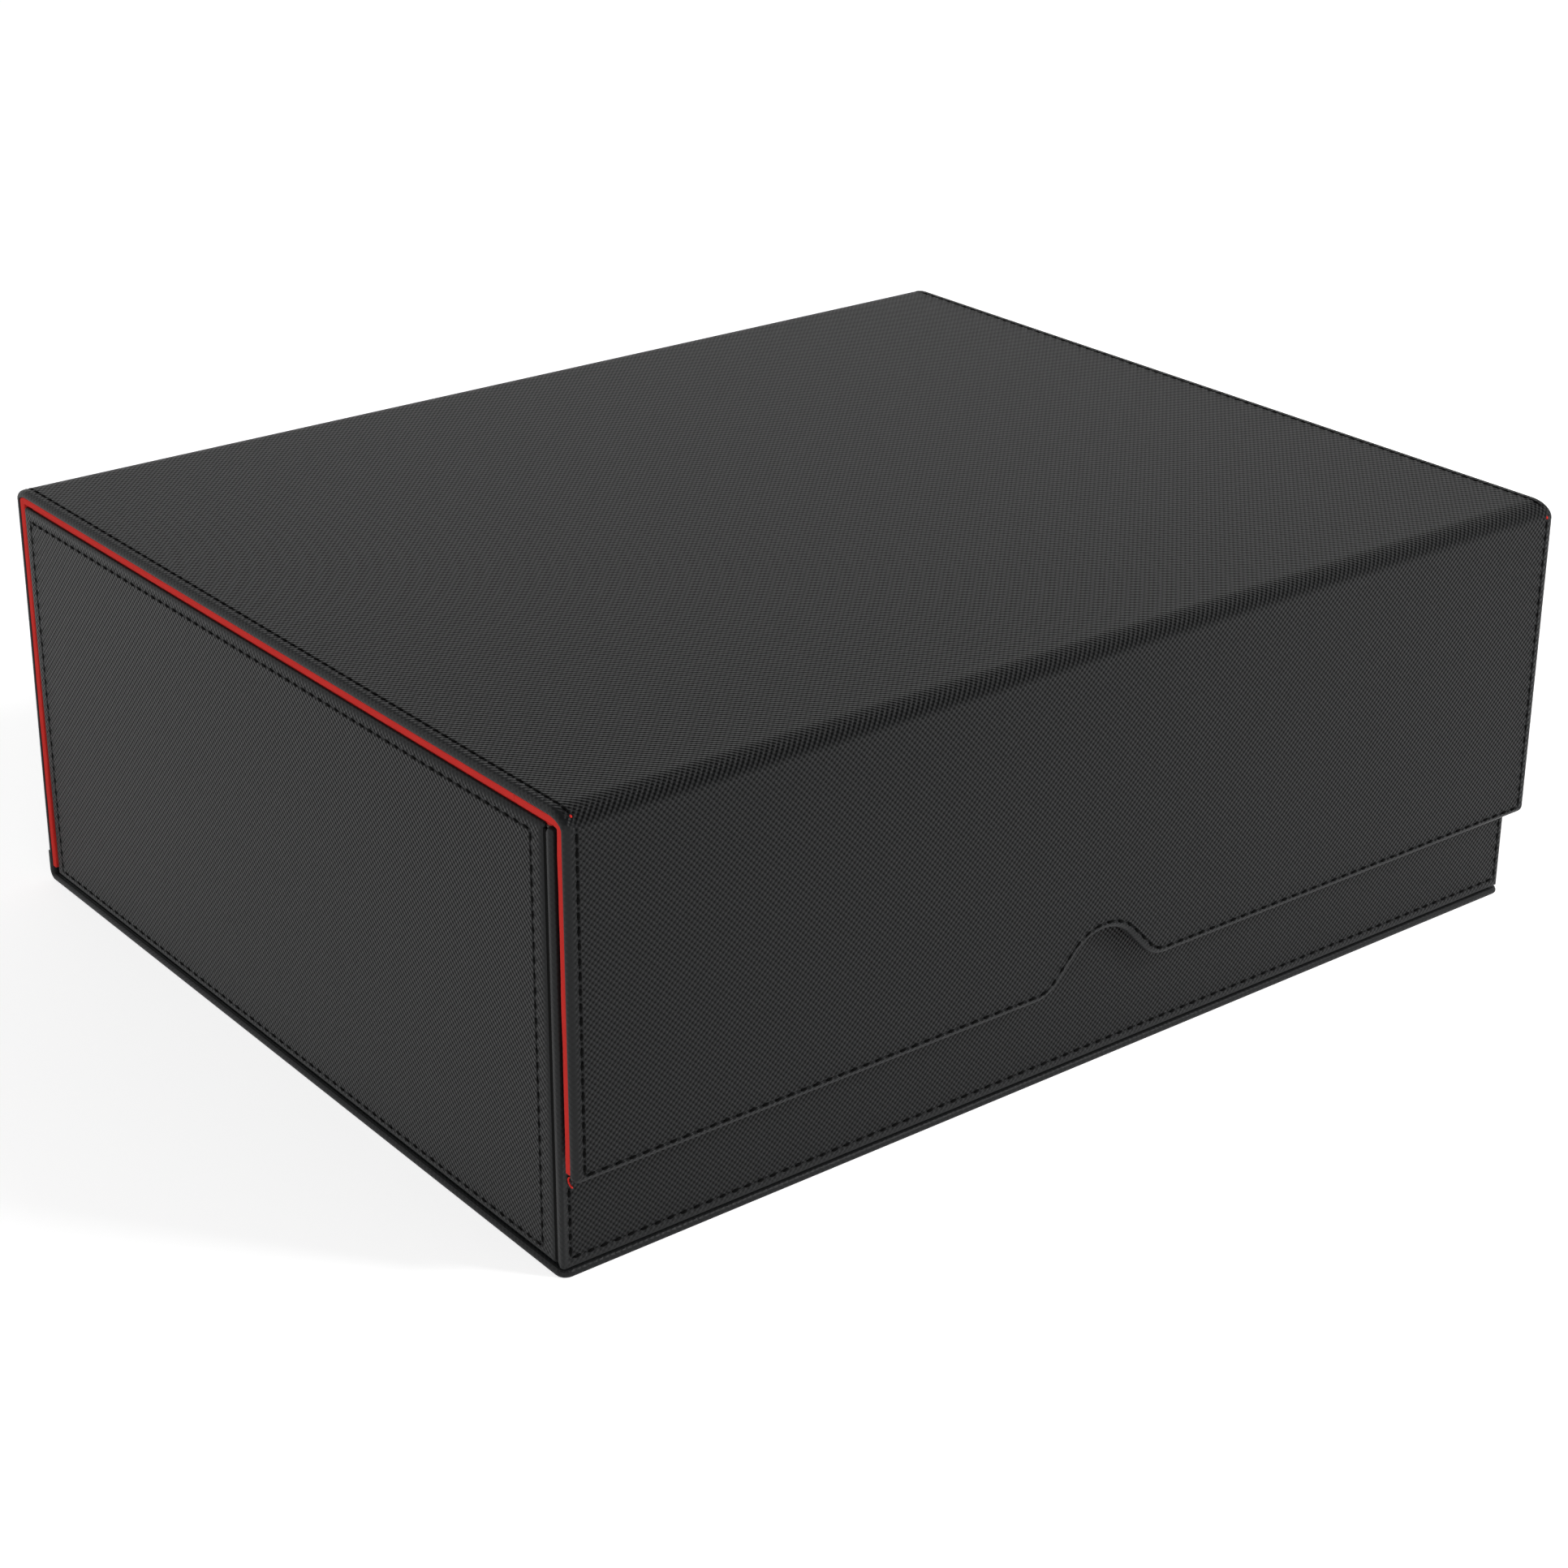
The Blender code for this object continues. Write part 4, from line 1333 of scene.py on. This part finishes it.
        curl = Seam(Stitch(length=1.1 * MM, width=0.5 * MM, height=0.5 * MM, sunk=0.1 * MM))
        path = ((30.2, 2.3), (29.6, 2.8), (28.9, 2.8), (28.3, 2.4), (27.9, 1.8), (27.9, 1.2))
        line = [Vector((self.on_flap(z * MM), depth * MM)) for z, depth in path]
        for start, end in zip(line, line[1:]):
            curl.bead(start.lerp(end, 0.5), (end - start).normalized(), on_edge)
        self._blend_front(ends.piece("thread_knots", self.finishes.lining, Slot.LINING))
        self._blend_front(curl.piece("thread_curl", self.finishes.lining, Slot.LINING))

    def build(self) -> None:
        """Builds the cover's pieces."""
        self.lid_leather()
        self.flap_leather()
        self.bottom_leather()
        self.linings()
        self.stitching()
        self.loose_ends()


@dataclass
class Tray:
    """The tray: leather-faced walls sewn round their edges, a red lining turned over the rim, and lanes."""

    finishes: Finishes
    front_nose: float = 1.3 * MM
    front_hem: float = 0.35 * MM
    side_nose: float = 1.2 * MM
    side_nose_spread: float = 1.7
    side_hem: float = 0.15 * MM
    side_gap: float = 1.2 * MM
    # Depth of the painted shade strip in that gap.
    gap_shade_depth: float = 0.55 * MM
    side_longer: float = 1.8 * MM
    low_share: float = 0.3
    corner: float = 0.6 * MM
    groove: float = 0.25 * MM
    groove_half: float = 0.42 * MM
    side_rows: Insets = Insets(5.0 * MM, 4.3 * MM, 2.7 * MM, 3.3 * MM)
    front_rows: Insets = Insets(2.4 * MM, 2.4 * MM, 2.7 * MM, 3.3 * MM)
    # Shape of the near-black strip that is painted as shade into the gap before each side's facing.
    gap_shade_round: float = 0.05 * MM
    gap_shade_behind: float = 0.1 * MM
    lining_thick: float = 0.6 * MM
    lining_corner: float = 1.5 * MM
    rim_corner: float = 1.1 * MM
    partition_corner: float = 6 * MM
    partition_edge: float = 1.2 * MM
    partition_flat_from: float = 3 * MM
    partition_cut_from: float = 8 * MM
    partition_cut_pitch: float = 10 * MM

    def _front_rings(self, thick: float, reach: float) -> list[Ring]:
        """The rings of the front's leather, which wraps both corners of the tray.

        Args:
            thick: Thickness of the facing.
            reach: How far back it wraps the corners.

        Returns:
            The rings, of which the last lies on the outer face.
        """
        nose, hem = self.front_nose, self.front_hem
        angles = quarter_angles(ROUNDING_STEPS)
        rings = [even(thick, thick), even(thick, reach)]
        for angle in angles:
            inset = hem * (1 - math.sin(angle))
            rings.append(Ring(Insets(inset, inset, thick, thick), reach - hem * (1 - math.cos(angle))))
        for angle in angles:
            inset = nose * (1 - math.cos(angle))
            sides = Insets(inset, inset, self.low_share * inset, inset)
            rings.append(Ring(sides, nose * (1 - math.sin(angle))))
        return rings

    def _wall(
        self, name: str, low: Point, high: Point, rings: list[Ring], rows: Insets, placer: Placer
    ) -> None:
        """Makes the leather and the stitches of one wall.

        Args:
            name: Which wall it is.
            low: The lower left corner of its blank.
            high: The upper right corner of its blank.
            rings: The rings of its edge.
            rows: How far the row of stitches lies inside the edge.
            placer: Takes a point of the blank to its place on the box.
        """
        rings = rings + seam_groove(rows, self.groove, self.groove_half)
        blank = Blank(rectangle(low, high, (self.corner,) * 4, 4), rings)
        piece = blank.place(placer).piece(f"tray_{name}_leather", self.finishes.leather)
        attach(piece, Body.BASE.value)
        report(piece, Slot.LEATHER, f"tray_{name}_facing")
        seam = Seam()
        line = rectangle(low, high)(rows)
        seam.run([*line, line[0]], placer)
        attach(seam.piece(f"tray_{name}_stitching", self.finishes.thread), Body.BASE.value)

    def facings(self) -> None:
        """The leather facings of the front and of both sides, each with its row of stitches."""
        side_low, side_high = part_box("tray_left_facing")
        thick = side_high.x - side_low.x
        low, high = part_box("tray_front_facing")
        front = low.y

        def on_front(x: float, z: float, depth: float) -> Vector:
            """Takes a point of the front's blank to its place."""
            return Vector((x, front + depth, z))

        rings = self._front_rings(thick, high.y - low.y)
        self._wall("front", (low.x, low.z), (high.x, high.z), rings, self.front_rows, on_front)
        rings = padded_edge(self.side_nose, self.side_hem, 0.0, thick, self.side_nose_spread)
        near, far = (side_low.y + self.side_gap, side_low.z), (side_high.y + self.side_longer, side_high.z)
        for name, sign in (("left", -1), ("right", 1)):

            def on_side(y: float, z: float, depth: float, sign: int = sign) -> Vector:
                """Takes a point of a side's blank to its place."""
                return Vector((-sign * (side_low.x + depth), y, z))

            self._wall(name, near, far, rings, self.side_rows, on_side)
            # A near-black strip fills the gap before the facing as painted shade.
            self._gap_shade(name, side_low.y, thick, (side_low.z, side_high.z), on_side)

    def _gap_shade(self, name: str, start: float, thick: float, heights: Point, placer: Placer) -> None:
        """Makes a near-black strip in the gap before a side's facing: painted shade for the deep, shadowed
        gap.

        Args:
            name: Which side it is.
            start: Where the gap starts.
            thick: Thickness of the facing.
            heights: The heights at which the facing starts and ends.
            placer: Takes a point of the side's blank to its place on the box.
        """
        inset = self.side_nose
        low = (start - self.side_hem, heights[0] + inset)
        high = (start + self.side_gap + self.side_nose, heights[1] - inset)
        corner = self.gap_shade_round
        rings = padded_edge(corner, corner, self.gap_shade_depth, thick - self.gap_shade_behind)
        # The strip takes the thread's near-black finish: painted shade for the gap, not a leather edge.
        blank = Blank(rectangle(low, high), rings).place(placer)
        piece = blank.piece(f"tray_{name}_gap_shade", self.finishes.thread)
        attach(piece, Body.BASE.value)
        report(piece, Slot.LEATHER)

    def lining(self) -> None:
        """The red lining: an open box with rounded corners whose edge is turned out over the rim."""
        room_low, room_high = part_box("tray_floor_lining")
        lip_low, lip_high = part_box("tray_front_lining")
        low = Vector((room_low.x, room_low.y, room_high.z))
        high = Vector((room_high.x, room_high.y, lip_high.z))
        middle, size = (low + high) / 2, high - low
        mesh = bmesh.new()
        shape = Matrix.Translation(middle) @ Matrix.Diagonal((*size, 1.0))
        bmesh.ops.create_cube(mesh, size=1.0, matrix=shape)
        mesh.normal_update()
        top = [face for face in mesh.faces if face.normal.z > 0.9]
        bmesh.ops.delete(mesh, geom=top, context="FACES_ONLY")
        rounded = {"segments": 4, "profile": 0.5, "affect": "EDGES", "material": -1}
        inner = [edge for edge in mesh.edges if not edge.is_boundary]
        bmesh.ops.bevel(mesh, geom=inner, offset=self.lining_corner, **rounded)
        rim = [edge for edge in mesh.edges if edge.is_boundary]
        grown = bmesh.ops.extrude_edge_only(mesh, edges=rim)["geom"]
        lip = [item for item in grown if isinstance(item, bmesh.types.BMVert)]
        reach = Vector((lip_high.x - high.x, low.y - lip_low.y, 0.0))
        widen = ((size.x + 2 * reach.x) / size.x, (size.y + 2 * reach.y) / size.y, 1.0)
        bmesh.ops.scale(mesh, vec=widen, space=Matrix.Translation(-middle), verts=lip)
        bmesh.ops.bevel(mesh, geom=rim, offset=self.rim_corner, **rounded)
        bmesh.ops.recalc_face_normals(mesh, faces=mesh.faces[:])
        floor_face = min(mesh.faces, key=lambda face: face.calc_center_median().z)
        if floor_face.normal.z < 0:
            bmesh.ops.reverse_faces(mesh, faces=mesh.faces[:])
        piece = new_piece("tray_lining", mesh, self.finishes.lining, closed=False)
        cloth = piece.modifiers.new("cloth_thickness", "SOLIDIFY")
        cloth.thickness = self.lining_thick
        cloth.offset = -1.0
        cloth.use_even_offset = True
        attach(piece, Body.BASE.value)
        walls = [f"tray_{name}_lining" for name in ("front", "back", "left", "right", "floor")]
        report(piece, Slot.LINING, *walls)

    def partitions(self) -> None:
        """The covered partitions, with soft edges and rounded upper corners."""
        for number in (1, 2, 3):
            low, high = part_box(f"partition_{number}")
            thick = high.x - low.x
            corner, edge = self.partition_corner, self.partition_edge
            outline = rectangle((low.y, low.z), (high.y, high.z), (0, 0, corner, corner), 8)
            rings = padded_edge(edge, edge, 0.0, thick) + [even(self.partition_flat_from, 0.0)]
            blank = Blank(outline, rings)

            def standing(y: float, z: float, depth: float, left: float = low.x) -> Vector:
                """Takes a point of a partition's blank to its place."""
                return Vector((left + depth, y, z))

            blank.cut(range_steps(low.z + self.partition_cut_from, high.z, self.partition_cut_pitch))
            piece = blank.place(standing).piece(f"covered_partition_{number}", self.finishes.lining)
            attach(piece, Body.BASE.value)
            report(piece, Slot.LINING, f"partition_{number}")

    def build(self) -> None:
        """Builds the tray's pieces."""
        self.facings()
        self.lining()
        self.partitions()


@dataclass
class HiddenCore:
    """The boards and magnets inside the panels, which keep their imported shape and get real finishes."""

    finishes: Finishes

    def build(self) -> None:
        """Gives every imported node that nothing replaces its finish."""
        by_slot = {Slot.BOARD.value: self.finishes.board, Slot.MAGNET.value: self.finishes.magnet}
        for entry in frame["record"]["subparts"]:
            node = frame["nodes"][entry["node"]]
            if node.hide_render:
                continue
            node.data.materials.clear()
            node.data.materials.append(by_slot[entry["material_slot"]])
            LOG.info("%s keeps its packed shape", node.name)


@dataclass(frozen=True)
class Softbox:
    """A square lamp: its place, its edge length and its power."""

    name: str
    eye: tuple[float, float, float]
    size: float
    watts: float


@dataclass
class Studio:
    """The pale floor, the soft light and the camera."""

    floor_half: float = 6.0
    floor_tone: str = "#d8d8d8"
    floor_glow: float = 0.66
    walls_deg: float = 14.0
    ceiling_deg: float = 48.0
    ceiling_tone: float = 0.02
    softboxes: tuple[Softbox, ...] = (
        Softbox("key_softbox", (0.85, -1.15, 1.20), 0.4, 14.5),
        Softbox("left_back_softbox", (-0.85, 0.85, 0.95), 0.4, 1.5),
        Softbox("left_front_softbox", (-1.2, -0.9, 0.5), 1.0, 2.2),
    )
    frame_px: float = 1932.0
    lamp_target: tuple[float, float, float] = (0.0, 0.0, 0.06)
    clip: Point = (0.01, 50.0)
    focal_px: float = 3922.42
    centre_px: Point = (923.96, 837.51)
    sensor_mm: float = 36.0
    azimuth_deg: float = -37.469
    elevation_deg: float = 22.9612
    roll_deg: float = -0.0618
    eye: tuple[float, float, float] = (-0.527944, -0.675046, 0.431148)

    def _seen(self, tree: bpy.types.NodeTree) -> bpy.types.NodeSocket:
        """Finds the rays that show the background itself: from the camera, off gloss and through glass.

        Args:
            tree: The node tree.

        Returns:
            The socket that gives 1 for them.
        """
        path = add_node(tree, "ShaderNodeLightPath")
        total = path.outputs["Is Camera Ray"]
        added = {"operation": "ADD", "use_clamp": True}
        for name in ("Is Glossy Ray", "Is Transmission Ray"):
            links = {0: total, 1: path.outputs[name]}
            total = add_node(tree, "ShaderNodeMath", added, links=links).outputs[0]
        return total

    def floor(self) -> None:
        """A wide pale floor that keeps the box's shadow and looks white where it is seen."""
        mesh = bmesh.new()
        bmesh.ops.create_grid(mesh, x_segments=1, y_segments=1, size=self.floor_half)
        data = bpy.data.meshes.new("studio_floor")
        mesh.to_mesh(data)
        mesh.free()
        material, tree, shader = new_material("seamless_paper")
        seen = self._seen(tree)
        tones = {6: linear(self.floor_tone), 7: WHITE}
        colour = add_node(tree, "ShaderNodeMix", {"data_type": "RGBA"}, tones, {0: seen})
        glow = add_node(tree, "ShaderNodeMath", {"operation": "MULTIPLY"}, {1: self.floor_glow}, {0: seen})
        values = {"Emission Color": WHITE, "Roughness": 1.0, "Specular IOR Level": 0.0}
        links = {"Base Color": colour.outputs[2], "Emission Strength": glow.outputs[0]}
        fill_inputs(shader, values, links)
        data.materials.append(material)
        floor = bpy.data.objects.new("studio_floor", data)
        bpy.context.scene.collection.objects.link(floor)

    def world(self) -> None:
        """A room with plain white walls and a dark ceiling, where only the softboxes hang."""
        world = bpy.data.worlds.new("studio_room")
        world.use_nodes = True
        tree = world.node_tree
        tree.nodes.clear()
        way = add_node(tree, "ShaderNodeTexCoord")
        parts = add_node(tree, "ShaderNodeSeparateXYZ", links={0: way.outputs["Generated"]})
        low, high = math.sin(math.radians(self.walls_deg)), math.sin(math.radians(self.ceiling_deg))
        smooth = {"interpolation_type": "SMOOTHSTEP"}
        ranges = {"From Min": low, "From Max": high, "To Min": 1.0, "To Max": self.ceiling_tone}
        strength = add_node(tree, "ShaderNodeMapRange", smooth, ranges, {"Value": parts.outputs["Z"]})
        links = {"Strength": strength.outputs["Result"]}
        room = add_node(tree, "ShaderNodeBackground", values={"Color": WHITE}, links=links)
        add_node(tree, "ShaderNodeOutputWorld", links={"Surface": room.outputs[0]})
        bpy.context.scene.world = world

    def lamp(self, softbox: Softbox) -> None:
        """Hangs a softbox so that it looks at the box."""
        data = bpy.data.lights.new(softbox.name, "AREA")
        data.shape = "SQUARE"
        data.size = softbox.size
        data.energy = softbox.watts
        lamp = bpy.data.objects.new(softbox.name, data)
        lamp.location = softbox.eye
        lamp.rotation_euler = (Vector(self.lamp_target) - lamp.location).to_track_quat("-Z", "Y").to_euler()
        bpy.context.scene.collection.objects.link(lamp)

    def camera(self) -> None:
        """The camera at the photograph's place and viewing angle."""
        data = bpy.data.cameras.new("photo_camera")
        data.sensor_width = self.sensor_mm
        data.lens = self.focal_px / self.frame_px * self.sensor_mm
        data.shift_x = (self.frame_px / 2 - self.centre_px[0]) / self.frame_px
        data.shift_y = (self.centre_px[1] - self.frame_px / 2) / self.frame_px
        data.clip_start, data.clip_end = self.clip
        camera = bpy.data.objects.new("photo_camera", data)
        tilt = Matrix.Rotation(math.radians(90 - self.elevation_deg), 4, "X")
        turn = Matrix.Rotation(math.radians(self.azimuth_deg), 4, "Z")
        roll = Matrix.Rotation(math.radians(self.roll_deg), 4, "Z")
        camera.matrix_world = Matrix.Translation(Vector(self.eye)) @ turn @ tilt @ roll
        bpy.context.scene.collection.objects.link(camera)
        bpy.context.scene.camera = camera

    def build(self) -> None:
        """Sets the whole studio up."""
        self.floor()
        self.world()
        for softbox in self.softboxes:
            self.lamp(softbox)
        self.camera()
        bpy.context.scene.view_settings.view_transform = "Standard"


def main() -> None:
    """Builds the box's pieces and the studio, in order."""
    logging.basicConfig(level=logging.INFO, format="%(message)s")
    # Without a seed of its own the noise starts from the clock, and the cloth differs from run to run
    noise.seed_set(CLOTH_SEED)
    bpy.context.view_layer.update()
    finishes = Finishes()
    Cover(finishes).build()
    Tray(finishes).build()
    HiddenCore(finishes).build()
    Studio().build()


if __name__ == "__main__":
    main()
